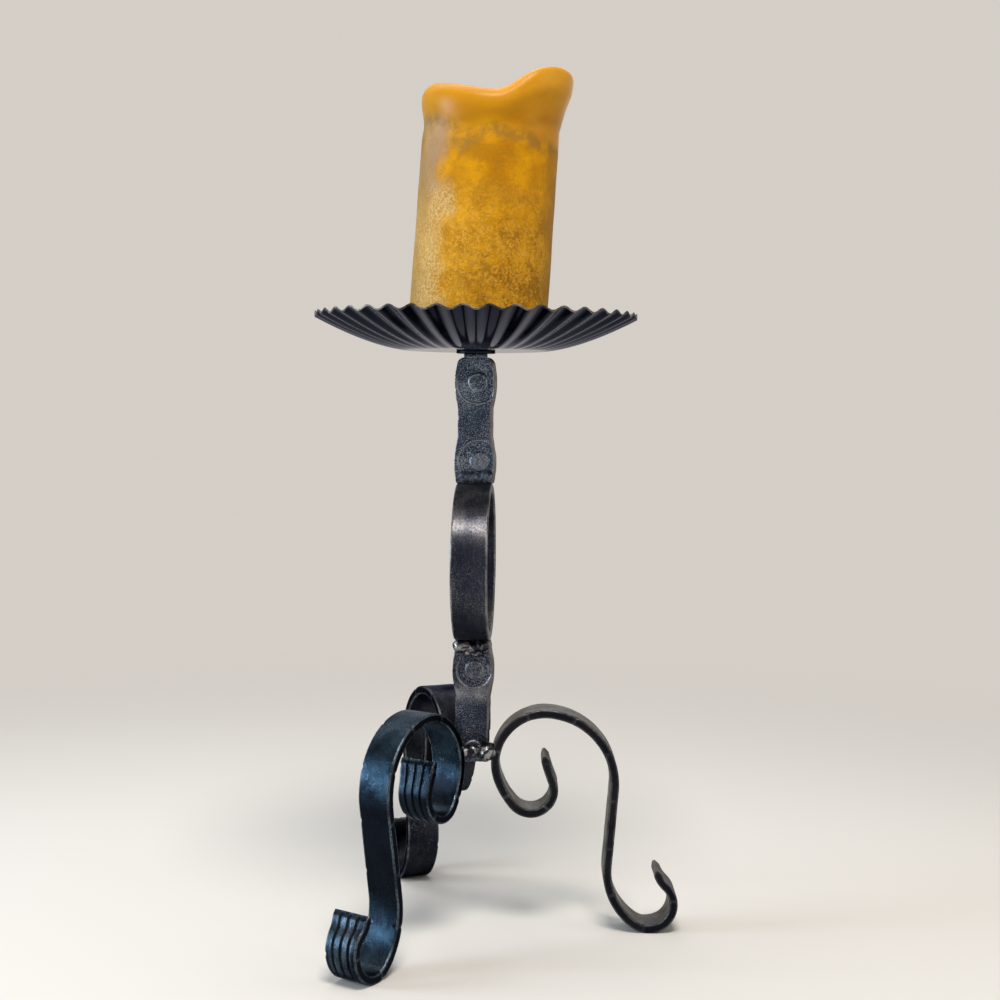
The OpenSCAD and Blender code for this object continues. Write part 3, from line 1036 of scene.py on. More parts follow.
@dataclass(frozen=True)
class FlatBar:
    """The section of a flat bar with rounded corners, and rows where grooves may be struck."""

    width: float = 20.0
    thickness: float = 5.0
    corner: float = 0.8
    corner_steps: int = 3
    support: float = 0.4
    groove_width: float = 2.3
    groove_floor: float = 0.9
    groove_rows: tuple[float, ...] = ()

    def _groove(self, off: float, row: float, side: int) -> list[SectionPoint]:
        """The points of one groove in the face on a side, in order across the bar."""
        wide, narrow = self.groove_width / 2, self.groove_floor / 2
        return [
            SectionPoint(off, row - wide, lip=side),
            SectionPoint(off, row - narrow, groove=side),
            SectionPoint(off, row + narrow, groove=side),
            SectionPoint(off, row + wide, lip=side),
        ]

    def _face(self, side: int) -> list[SectionPoint]:
        """The points of one broad face, in order across the bar.

        Args:
            side: 1 or -1, the side that it lies on.

        Returns:
            The points.
        """
        off = side * self.thickness / 2
        reach = self.width / 2 - self.corner - self.support
        points = [SectionPoint(off, -reach)]
        for row in self.groove_rows:
            points += self._groove(off, row, side)
        points.append(SectionPoint(off, reach))
        return points

    def _corner(self, side: int, hand: int) -> list[SectionPoint]:
        """The points of one rounded corner, from the narrow side to the broad face.

        Args:
            side: 1 or -1, the broad face's side.
            hand: 1 or -1, the narrow side.

        Returns:
            The points.
        """
        points = []
        for step in range(self.corner_steps + 1):
            angle = math.radians(90 * step / self.corner_steps)
            off = side * (self.thickness / 2 - self.corner + self.corner * math.sin(angle))
            across = hand * (self.width / 2 - self.corner + self.corner * math.cos(angle))
            points.append(SectionPoint(off, across, 1.0, 1 - step / self.corner_steps))
        return points

    def _side(self, hand: int) -> list[SectionPoint]:
        """The points of a narrow side between its corners, from the lower face up."""
        reach = self.thickness / 2 - self.corner - self.support
        return [SectionPoint(off, hand * self.width / 2, side=1.0) for off in (-reach, reach)]

    def outline(self) -> list[SectionPoint]:
        """The section's points, in order round it.

        Returns:
            The points.
        """
        lower = self._face(-1)
        right = self._corner(-1, 1)[::-1] + self._side(1) + self._corner(1, 1)
        upper = self._face(1)[::-1]
        left = self._corner(1, -1)[::-1] + self._side(-1)[::-1] + self._corner(-1, -1)
        return lower + right + upper + left


class SweptBar:
    """A bar's section carried along a path by spins and extrusions, ring by ring."""

    step_length: float = 1.15
    degrees_a_step: float = 3.0

    def __init__(self, section: FlatBar, start: Mark) -> None:
        """Draws the first ring.

        Args:
            section: The bar's section.
            start: Where the path starts.
        """
        self.points = section.outline()
        self.bm = bmesh.new()
        self.place = self.bm.verts.layers.int.new(PLACE_LAYER)
        self.edge = self.bm.verts.layers.float.new(WEAR_AND_PAINTED_LIGHT_LAYER)
        self.side = self.bm.verts.layers.float.new(PAINTED_SIDE_LIGHT_LAYER)
        self.marks = [start]
        first = []
        for index, point in enumerate(self.points):
            vert = self.bm.verts.new()
            self.shape(start, vert, point.off, point.across)
            vert[self.place] = index
            vert[self.edge] = point.edge
            vert[self.side] = point.side
            first.append(vert)
        self.rings: list[list[BMVert]] = [first]
        self.first_edges = closed_loop(self.bm, first)
        self.last_edges = self.first_edges

    def _ordered(self, verts: list[BMVert]) -> list[BMVert]:
        """A ring's vertices in their order round it."""
        return sorted(verts, key=lambda vert: vert[self.place])

    def straight(self, length: float, steps: int) -> None:
        """Extrudes the last ring straight ahead.

        Args:
            length: How far.
            steps: In how many rings.
        """
        start = self.marks[-1]
        for step in range(1, steps + 1):
            mark = start.step(Bend(length, 0), step / steps)
            before = self.marks[-1]
            ring, self.last_edges = next_ring(self.bm, self.last_edges, self.place)
            ahead = (mark.u - before.u, 0, mark.v - before.v)
            bmesh.ops.translate(self.bm, verts=ring, vec=ahead)
            self.rings.append(ring)
            self.marks.append(mark)

    def bend(self, bend: Bend) -> None:
        """Spins the last ring round a bend.

        Args:
            bend: The bend, or a straight.
        """
        if bend.turn == 0:
            self.straight(bend.radius, math.ceil(bend.radius / self.step_length))
            return
        start = self.marks[-1]
        arc = bend.radius * math.radians(abs(bend.turn))
        steps = max(1, math.ceil(abs(bend.turn) / self.degrees_a_step), math.ceil(arc / self.step_length))
        count, before = len(self.points), len(self.bm.verts)
        spun = bmesh.ops.spin(
            self.bm, geom=self.rings[-1] + self.last_edges, cent=start.centre(bend),
            axis=(0, -1, 0), angle=math.radians(bend.turn), steps=steps, use_duplicate=False,
        )["geom_last"]
        self.bm.verts.ensure_lookup_table()
        for step in range(1, steps):
            ring = self.bm.verts[before + count * (step - 1):before + count * step]
            self.rings.append(self._ordered(ring))
            self.marks.append(start.step(bend, step / steps))
        self.rings.append(self._ordered([g for g in spun if isinstance(g, BMVert)]))
        self.last_edges = [g for g in spun if isinstance(g, BMEdge)]
        self.marks.append(start.step(bend))

    def shape(self, mark: Mark, vert: BMVert, off: float, across: float) -> None:
        """Puts a vertex where the section at a mark has it."""
        left = mark.side()
        vert.co = (mark.u + left[0] * off, across, mark.v + left[1] * off)

    def close(self) -> BMesh:
        """Caps both ends, and gives the finished mesh."""
        for edges in (self.first_edges, self.last_edges):
            bmesh.ops.edgeloop_fill(self.bm, edges=edges)
        return self.bm


@dataclass(frozen=True)
class DropRow:
    """A row of weld drops: its ends, the radius of its first and last drop, and their number."""

    start: Vector
    end: Vector
    first: float
    last: float
    drops: int

    def lifted(self, height: float) -> "DropRow":
        """The same row, moved up."""
        up = height * UP
        return DropRow(self.start + up, self.end + up, self.first, self.last, self.drops)


@dataclass(frozen=True)
class LegPlan:
    """Where one leg stands, how it differs from the others, and its bead on the stem.

    Turn and slope are in degrees. The bead's rows are given above the weld's height.
    """

    name: str
    turn: float
    slope: float
    extra: float
    # The next value lightens the broad faces as they face up: painted light.
    painted_top_light: float
    # The next value darkens the outward face along the upright: painted shade.
    painted_upright_shade: float
    bead: tuple[DropRow, ...]


@dataclass(frozen=True)
class LegPlace:
    """What is worked into a leg at one place of its path, as shares of its full size."""

    mark: Mark
    grooves: dict[int, float]
    thin: float
    wide: float
    nick: float
    # The share of painted shade on the outward face there.
    painted_shade_share: float


@dataclass
class Leg:
    """A leg: one flat bar with a curl to stand on, an arch and a scroll."""

    plan: LegPlan
    finish: Finish
    seed: float
    section: FlatBar = FlatBar(groove_rows=(-5.0, 0.0, 5.0))
    curl: Bend = Bend(14.0, 137.0)
    curl_tip: Bend = Bend(17.5, -26.0)
    shin: tuple[Bend, ...] = (Bend(14.0, -36.0), Bend(37.0, -58.5))
    upright: float = 43.0
    shoulder: Bend = Bend(40.0, 90.0)
    crown: Bend = Bend(28.0, 116.0)
    scroll: tuple[Bend, ...] = (Bend(47.0, 19.5), Bend(13.0, 161.0), Bend(104.0, -7.0))
    stem_side: float = 13.1
    foot_height: float = 2.25
    chisel_length: float = 3.0
    chisel_edge: float = 1.5
    chisel_steps: int = 5
    chisel_curve: float = 0.8
    scroll_grooves: float = 34.7
    curl_grooves: float = 31.6
    groove_depth: float = 1.0
    groove_most: float = 0.8
    groove_fade: float = 5.0
    # Wear on the groove lips, painted lighter as their highlight: more on the foot's curl, which the
    # light catches, than on the scroll.
    scroll_lip_wear_highlight: float = 0.30
    curl_lip_wear_highlight: float = 0.80
    # The heights between which the front leg's outward face takes painted shade.
    shade_from: float = 34.0
    shade_to: float = 78.0
    shade_fade: float = 14.0
    flare: float = 0.12
    flare_length: float = 17.0
    nick_shift: float = 9.0
    nick_pitch: float = 27.0
    nick_depth: float = 0.4
    nick_length: float = 1.5
    nick_core: float = 0.2
    waviness: float = 0.22
    wave_size: float = 9.0
    waver: float = 0.012
    waver_size: float = 17.0

    def _inward(self) -> tuple[Bend, ...]:
        """The bends from the foot's lowest point to the scroll's tip."""
        rise = (Bend(self.upright + self.plan.extra, 0.0), self.shoulder, self.crown)
        return self.shin + rise + self.scroll

    def _reach(self) -> float:
        """How far out the foot stands, so that the crown comes down beside the stem."""
        mark = Mark(0, 0, 180, 0)
        for bend in (*self.shin, Bend(self.upright + self.plan.extra, 0.0), self.shoulder):
            mark = mark.step(bend)
        return self.stem_side - mark.step(Bend(self.crown.radius, 270 - mark.heading)).u

    def _grooves(self, mark: Mark, length: float) -> dict[int, float]:
        """How deep the grooves of each face are at a mark.

        Args:
            mark: The place on the path.
            length: The path's whole length.

        Returns:
            A share for each side.
        """
        scroll = self.scroll_grooves + self.chisel_length
        curl = self.curl_grooves + self.chisel_length
        return {
            Face.LEFT.value: smooth_step(mark.along, scroll, scroll - self.groove_fade),
            Face.RIGHT.value: smooth_step(length - mark.along, curl, curl - self.groove_fade),
        }

    def _thinned(self, tail: float) -> float:
        """The share of the bar's thickness left at a distance from its end."""
        if tail >= self.chisel_length:
            return 1.0
        least = self.chisel_edge / self.section.thickness
        return least + (1 - least) * (tail / self.chisel_length) ** self.chisel_curve

    def build(self) -> None:
        """Sweeps the bar and strikes its grooves, nicks, chisel ends and hammer waves."""
        end = Mark(0, 0, 180, 0)
        for bend in self._inward():
            end = end.step(bend)
        start = Mark(end.u, end.v, end.heading + 180, 0).step(Bend(-self.chisel_length, 0))
        bar = SweptBar(self.section, Mark(start.u, start.v, start.heading, 0))
        bar.straight(self.chisel_length, self.chisel_steps)
        for bend in reversed(self._inward()):
            bar.bend(bend.back())
        bar.bend(self.curl)
        bar.bend(self.curl_tip)
        bar.straight(self.chisel_length, self.chisel_steps)
        length = bar.marks[-1].along
        for mark, ring in zip(bar.marks, bar.rings):
            at = self._place(mark, length)
            for vert, point in zip(ring, bar.points):
                bar.shape(mark, vert, *self._struck(point, at))
                vert[bar.edge], vert[bar.side] = self._marked(point, at)
        bm = bar.close()
        lean = Matrix.Identity(4)
        lean[1][2] = math.tan(math.radians(self.plan.slope))
        lean[0][3] = self._reach()
        lean[2][3] = self.foot_height
        turned = Matrix.Rotation(math.radians(self.plan.turn), 4, "Z") @ lean
        bmesh.ops.transform(bm, matrix=turned, verts=bm.verts)
        for vert in bm.verts:
            vert.co.z = max(0.0, vert.co.z)
        node = f"leg_{self.plan.name}"
        Piece(f"{node}_bar", Body.STAND, Slot.STEEL, self.finish, (node,)).place(bm)

    def _place(self, mark: Mark, length: float) -> LegPlace:
        """What is worked into the bar at a mark.

        Args:
            mark: The place on the path.
            length: The path's whole length.

        Returns:
            What is worked in.
        """
        tail = min(mark.along, length - mark.along)
        nick_at = abs((mark.along + self.nick_shift) % self.nick_pitch - self.nick_pitch / 2)
        wavering = wave(Vector((mark.along, self.seed, 0)), self.waver_size, self.seed)
        flared = 1 + self.flare * smooth_step(tail, self.flare_length, 1.0)
        # Painted shade on the upright, faded in and out by height.
        above = smooth_step(mark.v, self.shade_from - self.shade_fade, self.shade_from + self.shade_fade)
        below = smooth_step(mark.v, self.shade_to + self.shade_fade, self.shade_to)
        return LegPlace(
            mark=mark,
            grooves=self._grooves(mark, length),
            thin=self._thinned(tail),
            wide=flared * (1 - self.waver * (1 + wavering)),
            nick=smooth_step(nick_at, self.nick_length, self.nick_core),
            painted_shade_share=self.plan.painted_upright_shade * above * below,
        )

    def _struck(self, point: SectionPoint, at: LegPlace) -> tuple[float, float]:
        """Where the work brings a point of the section.

        Args:
            point: The point.
            at: What is worked in there.

        Returns:
            Its places off the mid-plane and across the bar.
        """
        side = math.copysign(1, point.off)
        spot = Vector((at.mark.along, point.across, point.off))
        dent = self.waviness * hollow(spot, self.wave_size, self.seed)
        off = point.off * at.thin - side * dent * at.thin
        groove = self.groove_depth * at.grooves.get(point.groove, 0)
        off -= side * min(groove, self.groove_most * abs(off))
        across = point.across * at.wide
        if point.edge or point.side:
            nick = at.nick * self.nick_depth
            off -= side * nick * 0.6 * point.edge
            across -= math.copysign(nick * (0.4 + 0.6 * point.edge), point.across)
        return off, across

    def _marked(self, point: SectionPoint, at: LegPlace) -> tuple[float, float]:
        """How a point of the section is marked for the finish.

        Args:
            point: The point.
            at: What is worked in there.

        Returns:
            How worn it is, with its groove lips worn and painted lighter as highlight and its upward
            faces painted lighter as light; and how much painted shade it takes, on narrow sides and along
            the upright.
        """
        side = math.copysign(1, point.off)
        outward, up = at.mark.side()
        frost_and_highlight = {Face.LEFT.value: self.scroll_lip_wear_highlight, Face.RIGHT.value: self.curl_lip_wear_highlight}
        chisel = 1 - smooth_step(at.thin, 0.35, 0.95)
        worn = max(point.edge, 0.8 * at.nick * point.side, chisel)
        # Wear on the groove lips, painted lighter as their highlight.
        frosted = frost_and_highlight[point.lip] * at.grooves[point.lip] if point.lip else 0.0
        # Painted light: broad faces lighter as they face up.
        painted_lit_top = 0.0 if point.side else self.plan.painted_top_light * smooth_step(side * up, 0.35, 0.95)
        # Painted shade: the narrow sides, and the outward face along the upright.
        dark = max(point.side, at.painted_shade_share * smooth_step(side * outward, 0.3, 0.9))
        return max(worn, frosted, painted_lit_top), dark


@dataclass
class StemRing:
    """The ring in the stem, bent from the legs' bar and seen edge-on."""

    finish: Finish
    turn: float
    section: FlatBar = FlatBar()
    steps: int = 180
    waviness: float = 0.24
    wave_size: float = 11.0
    waver: float = 0.012
    waver_size: float = 19.0
    # Upward faces painted lighter: painted light.
    painted_top_light: float = 0.9
    # A painted highlight on the ring's front: its strength, and its centre and reach in degrees above the
    # middle.
    painted_highlight: float = 0.76
    highlight_angle: float = 31.0
    highlight_reach: float = 13.0

    def build(self) -> None:
        """Spins the bar's section round the ring's axis."""
        low, high = low_corner("stem_ring"), high_corner("stem_ring")
        radius = (high.z - low.z) / 2 - self.section.thickness / 2
        bm = bmesh.new()
        edge = bm.verts.layers.float.new(WEAR_AND_PAINTED_LIGHT_LAYER)
        side = bm.verts.layers.float.new(PAINTED_SIDE_LIGHT_LAYER)
        verts = []
        for point in self.section.outline():
            vert = bm.verts.new((point.across, 0, radius + point.off))
            vert[edge] = point.edge
            vert[side] = point.side
            verts.append(vert)
        full_spin(bm, verts + closed_loop(bm, verts), (1, 0, 0), self.steps)
        for vert in bm.verts:
            # Painted light: the highlight and the lighter upward faces go into the edge layer.
            marked = self._dented_with_painted_light(vert, radius)
            if vert[side] == 0:
                vert[edge] = max(vert[edge], marked)
        middle = Matrix.Translation((0, 0, (low.z + high.z) / 2))
        turned = middle @ Matrix.Rotation(math.radians(self.turn), 4, "Z")
        bmesh.ops.transform(bm, matrix=turned, verts=bm.verts)
        Piece("stem_ring_bar", Body.STAND, Slot.STEEL, self.finish, ("stem_ring",)).place(bm)

    def _dented_with_painted_light(self, vert: BMVert, radius: float) -> float:
        """Dents the ring at a vertex, and gives its painted light.

        Args:
            vert: The vertex, which is moved.
            radius: The radius of the bar's mid-plane.

        Returns:
            How much painted light a broad face takes there: a painted highlight on the front, and a
            lighter tone as it faces up.
        """
        out = Vector((0, vert.co.y, vert.co.z))
        outward = out.normalized()
        depth = out.length - radius
        way = math.copysign(1, depth)
        vert.co -= way * self.waviness * hollow(vert.co, self.wave_size, 3.0) * outward
        vert.co.x *= 1 - self.waver * (1 + wave(out, self.waver_size, 5.0))
        round_ring = math.degrees(math.atan2(out.z, -out.y))
        # Painted highlight on the front, where the top lamp's reflection falls.
        rubbed = self.painted_highlight * bell(round_ring - self.highlight_angle, self.highlight_reach) if depth > 0 else 0.0
        return max(rubbed, self.painted_top_light * smooth_step(way * outward.z, 0.35, 0.85))


@dataclass(frozen=True)
class Roundel:
    """A stamped roundel on a bar: a pressed circle round a raised disc.

    Rubbed says how worn its disc is. Below is a painted highlight on the bar below it, and arch is how
    much of the rims' wear the upper half keeps, since the lower half takes more as painted highlight.
    """

    height: float
    shift: float = 0.0
    radius: float = 9.5
    rubbed: float = 0.3
    below: float = 0.0
    arch: float = 0.4
    boss_radius: float = 5.2
    pressed: float = 0.9

    def depth(self, r: float) -> float:
        """How deep the bar is pressed at a distance from the middle.

        Args:
            r: The distance.

        Returns:
            The depth.
        """
        rim = smooth_step(r, self.radius + 0.3, self.radius - 0.3)
        moat = smooth_step(r, self.radius - 1.0, self.boss_radius + 0.9)
        boss = smooth_step(r, self.boss_radius + 0.5, self.boss_radius - 0.5)
        dome = 0.12 + 0.16 * (min(r, self.boss_radius) / self.boss_radius) ** 2
        depth = self.pressed * rim * (0.72 + 0.28 * moat)
        return depth + (dome - depth) * boss

    def wear(self, r: float, up: float) -> float:
        """How worn the stamping is at a place, with painted highlight: the outer rim brighter below and
        the disc's rim brighter above, where light from above catches them.

        Args:
            r: The distance from the middle.
            up: How far it is above the middle.

        Returns:
            The wear.
        """
        boss = smooth_step(r, self.boss_radius + 0.5, self.boss_radius - 0.5)
        near_rim = bell(r - self.radius - 0.4, 0.55)
        near_boss = bell(r - self.boss_radius + 0.35, 0.45)
        lower = smooth_step(-up, -self.radius, 0.7 * self.radius)
        around = self.arch + (1 - self.arch) * lower
        return max(around * near_rim, (1 - 0.4 * lower) * near_boss, self.rubbed * boss)

    def painted_highlight_below(self, r: float, up: float) -> float:
        """A painted highlight on the bar outside the circle and below it, r from its middle."""
        return self.below * bell(-up - self.radius - 3.5, 5.0) if r > self.radius else 0.0


@dataclass(frozen=True)
class PlanPoint:
    """A point of a stamped bar's section: a share across a face, or a place on a corner.

    Hand is 1 on the right and -1 on the left, and through is below 0 at the front.
    """

    part: Part
    share: float = 0.0
    hand: int = 0
    inset: float = 0.0
    through: float = 0.0


@dataclass
class StampedBar:
    """A stamped flat bar of the stem, with roundels on its front and swollen edges beside them."""

    name: str
    bottom: float
    top: float
    roundels: tuple[Roundel, ...]
    swells: tuple[float, ...]
    finish: Finish
    seed: float
    shoulder: float = 0.6
    toe_height: float = 0.0
    toe_width: float = 18.6
    width: float = 19.6
    thickness: float = 6.0
    swell: float = 1.9
    swell_reach: float = 15.0
    right_extra: float = 0.5
    corner: float = 0.8
    crisp_corner: float = 0.45
    lit_width: float = 2.5
    lit_depth: float = 1.8
    corner_steps: int = 5
    corner_ripple: float = 0.35
    ripple_size: float = 4.5
    # The right edges wear more than the left, partly as painted highlight where light from the right
    # catches them.
    right_wear_and_highlight: float = 0.45
    left_wear: float = 0.15
    front_steps: int = 60
    back_steps: int = 10
    level_step: float = 0.34
    end_round: float = 0.5
    waviness: float = 0.2
    wave_size: float = 6.0

    def _half(self, z: float) -> float:
        """Half the bar's width at a height.

        Args:
            z: The height.

        Returns:
            Half the width.
        """
        if z < self.bottom + self.toe_height:
            return self.toe_width / 2
        share = 0.0
        for centre in self.swells:
            if abs(z - centre) < self.swell_reach:
                share = max(share, (1 + math.cos(math.pi * (z - centre) / self.swell_reach)) / 2)
        inset = 0.0
        left = self.top - z
        if left < self.shoulder:
            cut = self.shoulder - left
            inset = self.shoulder - math.sqrt(max(0.0, self.shoulder**2 - cut**2))
        return self.width / 2 + self.swell * share**0.6 - inset

    def _stamp(self, x: float, z: float) -> tuple[float, float]:
        """The stamping at a place of the front.

        Args:
            x: The place across the bar.
            z: Its height.

        Returns:
            How deep it is pressed, and how worn it is, with the roundels' painted highlights.
        """
        deepest = 0.0
        worn = 0.0
        for roundel in self.roundels:
            up = z - roundel.height
            r = math.hypot(x - roundel.shift, up)
            worn = max(worn, roundel.painted_highlight_below(r, up))
            if r <= roundel.radius + 1:
                deepest = max(deepest, roundel.depth(r))
                worn = max(worn, roundel.wear(r, up))
        return deepest, worn

    def _corner(self, across: float, deep: float, hand: int, front: int) -> list[PlanPoint]:
        """One corner of the section, from the front or back face to the side.

        Args:
            across: The corner's size across the bar.
            deep: Its size through the bar.
            hand: 1 on the right, -1 on the left.
            front: 1 at the front, -1 at the back.

        Returns:
            The points.
        """
        points = []
        for step in range(self.corner_steps + 1):
            angle = math.radians(90 * step / self.corner_steps)
            inset = hand * across * (1 - math.sin(angle))
            through = -front * (self.thickness / 2 - deep * (1 - math.cos(angle)))
            points.append(PlanPoint(Part.CORNER, hand=hand, inset=inset, through=through))
        return points

    def _plan(self) -> list[PlanPoint]:
        """The section's points, in order round it.

        Returns:
            The points.
        """
        fronts = range(self.front_steps + 1)
        backs = range(1, self.back_steps)
        front = [PlanPoint(Part.FRONT, -1 + 2 * k / self.front_steps) for k in fronts]
        back = [PlanPoint(Part.BACK, 1 - 2 * k / self.back_steps) for k in backs]
        right_front = self._corner(self.lit_width, self.lit_depth, 1, 1)
        right_back = self._corner(self.corner, self.corner, 1, -1)
        left_back = self._corner(self.corner, self.corner, -1, -1)
        left_front = self._corner(self.crisp_corner, self.crisp_corner, -1, 1)
        right = right_front[1:] + right_back[::-1]
        left = left_back + left_front[:0:-1]
        return front + right + back + left

    def build(self) -> None:
        """Extrudes the section up the bar and stamps its front."""
        bm = bmesh.new()
        place = bm.verts.layers.int.new(PLACE_LAYER)
        edge = bm.verts.layers.float.new(WEAR_AND_PAINTED_LIGHT_LAYER)
        side = bm.verts.layers.float.new(PAINTED_SIDE_LIGHT_LAYER)
        plan = self._plan()
        ring = bmesh.ops.create_circle(bm, segments=len(plan), radius=1.0)["verts"]
        for index, vert in enumerate(ring):
            vert[place] = index
        edges = bm.edges[:]
        first_edges = edges
        rings = [ring]
        count = math.ceil((self.top - self.bottom) / self.level_step)
        for _ in range(count):
            ring, edges = next_ring(bm, edges, place)
            rings.append(ring)
        for level, ring in enumerate(rings):
            z = self.bottom + (self.top - self.bottom) * level / count
            half = self._half(z)
            from_end = min(z - self.bottom, self.top - z)
            pull = self.end_round * (1 - smooth_step(from_end, 0.0, 0.6))
            for vert, point in zip(ring, plan):
                x, y, worn = self._placed(point, z, half)
                away = min(pull, abs(x))
                vert.co = (x - math.copysign(away, x), y - math.copysign(pull, y), z)
                vert[edge] = max(worn, pull)
                # The right front corner takes the side tone: a painted reflection of the light from the
                # right.
                vert[side] = 1.0 if point.hand > 0 and point.through < 0 else 0.0
        for loop in (first_edges, edges):
            bmesh.ops.edgeloop_fill(bm, edges=loop)
        self._extras(bm)
        Piece(f"{self.name}_bar", Body.STAND, Slot.STEEL, self.finish, (self.name,)).place(bm)

    def _placed(self, point: PlanPoint, z: float, half: float) -> tuple[float, float, float]:
        """Where a point of the section lies at a level.

        Args:
            point: The point.
            z: The level.
            half: Half the bar's width there.

        Returns:
            Its places across and through the bar, and how worn it is.
        """
        if point.part is Part.FRONT:
            left = self.crisp_corner - half
            right = half + self.right_extra - self.lit_width
            x = left + (right - left) * (point.share + 1) / 2
            depth, worn = self._stamp(x, z)
            dent = self.waviness * hollow(Vector((x, 0, z)), self.wave_size, self.seed)
            return x, -self.thickness / 2 + depth + dent, worn
        if point.part is Part.BACK:
            x = (half - self.corner) * point.share
            dent = self.waviness * hollow(Vector((x, 9, z)), self.wave_size, self.seed)
            return x, self.thickness / 2 - dent, 0.0
        spot = Vector((0, 9 * point.hand, z))
        ripple = self.corner_ripple * hollow(spot, self.ripple_size, self.seed)
        x = point.hand * (half - ripple) - point.inset
        if point.hand > 0:
            return x + self.right_extra, point.through, self.right_wear_and_highlight
        return x, point.through, self.left_wear

    def _extras(self, bm: BMesh) -> None:
        """Adds what stands on the bar. A plain bar has nothing."""


@dataclass
class UpperBar(StampedBar):
    """The stem's upper bar, with a shouldered neck that carries the washer and the pan."""

    neck_width: float = 13.0
    neck_height: float = 2.0
    neck_sunk: float = 1.0
    neck_round: float = 0.5
    stud_radius: float = 2.5
    stud_top: float = 332.2

    def _extras(self, bm: BMesh) -> None:
        """Adds the neck and the stud.

        Args:
            bm: The bar's mesh.
        """
        neck = bmesh.ops.create_cube(bm, size=1.0)["verts"]
        tall = self.neck_height + self.neck_sunk
        middle = self.top - self.neck_sunk + tall / 2
        bmesh.ops.scale(bm, vec=(self.neck_width, self.thickness * 0.96, tall), verts=neck)
        bmesh.ops.translate(bm, vec=(0, 0, middle), verts=neck)
        round_edges(bm, edges_of(neck), self.neck_round)
        low = self.top + self.neck_height - 0.5
        stud = bmesh.ops.create_cone(
            bm, cap_ends=True, segments=32, radius1=self.stud_radius, radius2=self.stud_radius,
            depth=self.stud_top - low,
        )["verts"]
        bmesh.ops.translate(bm, vec=(0, 0, (self.stud_top + low) / 2), verts=stud)


@dataclass
class WeldBead:
    """A weld bead: rows of merged drops, with a lumpy skin, marked for a painted highlight on its crowns
    that is strongest round one spot.
    """

    name: str
    rows: tuple[DropRow, ...]
    finish: Finish
    seed: float
    highlight_spot: Vector
    highlight_spot_reach: float = 5.5
    voxel: float = 0.34
    lump: float = 0.62
    lump_size: float = 3.1
    ripple: float = 0.13
    ripple_size: float = 0.9
    squash: float = 0.9
    sharp: float = 80.0

    def build(self) -> None:
        """Grows the drops, merges them and roughens the bead."""
        bm = bmesh.new()
        for row in self.rows:
            self._row(bm, row)
        bm = self._merged(bm)
        edge = bm.verts.layers.float.new(WEAR_AND_PAINTED_LIGHT_LAYER)
        bm.normal_update()
        for vert in bm.verts:
            lumps = wave(vert.co, self.lump_size, self.seed)
            ripples = wave(vert.co, self.ripple_size, self.seed + 7)
            vert.co += vert.normal * (self.lump * lumps + self.ripple * ripples)
            # Marks the crowns for a painted highlight, strongest round the spot.
            highlight_focus = 1.2 * bell((vert.co - self.highlight_spot).length, self.highlight_spot_reach) - 0.35
            vert[edge] = smooth_step(lumps + 0.3 * ripples + highlight_focus, -0.30, 0.40)
        Piece(f"{self.name}_bead", Body.STAND, Slot.WELD, self.finish, (self.name,), self.sharp).place(bm)

    def _row(self, bm: BMesh, row: DropRow) -> None:
        """Adds one row of drops.

        Args:
            bm: The mesh.
            row: The row.
        """
        for index in range(row.drops):
            share = index / max(1, row.drops - 1)
            at = row.start.lerp(row.end, share)
            shift = Vector([wave(at, 1.7, self.seed + k) for k in (0, 3, 5)])
            plain = row.first + (row.last - row.first) * share
            radius = plain * (1 + 0.3 * wave(at, 2.1, self.seed + 9))
            drop = bmesh.ops.create_icosphere(bm, subdivisions=3, radius=radius)["verts"]
            bmesh.ops.scale(bm, vec=(1, 1, self.squash), verts=drop)
            bmesh.ops.translate(bm, vec=at + 0.25 * row.first * shift, verts=drop)

    def _merged(self, bm: BMesh) -> BMesh:
        """Merges the drops into one skin.

        Args:
            bm: The drops. They are freed.

        Returns:
            The skin.
        """
        mesh = bpy.data.meshes.new(f"{self.name}_drops")
        bm.to_mesh(mesh)
        bm.free()
        drops = new_object(f"{self.name}_drops", mesh)
        skin = drops.modifiers.new("skin", "REMESH")
        skin.mode = "VOXEL"
        skin.voxel_size = self.voxel
        seen = drops.evaluated_get(bpy.context.evaluated_depsgraph_get())
        merged = bmesh.new()
        merged.from_mesh(seen.to_mesh())
        bpy.data.objects.remove(drops)
        bmesh.ops.smooth_vert(
            merged, verts=merged.verts, factor=0.5,
            use_axis_x=True, use_axis_y=True, use_axis_z=True,
        )
        return merged


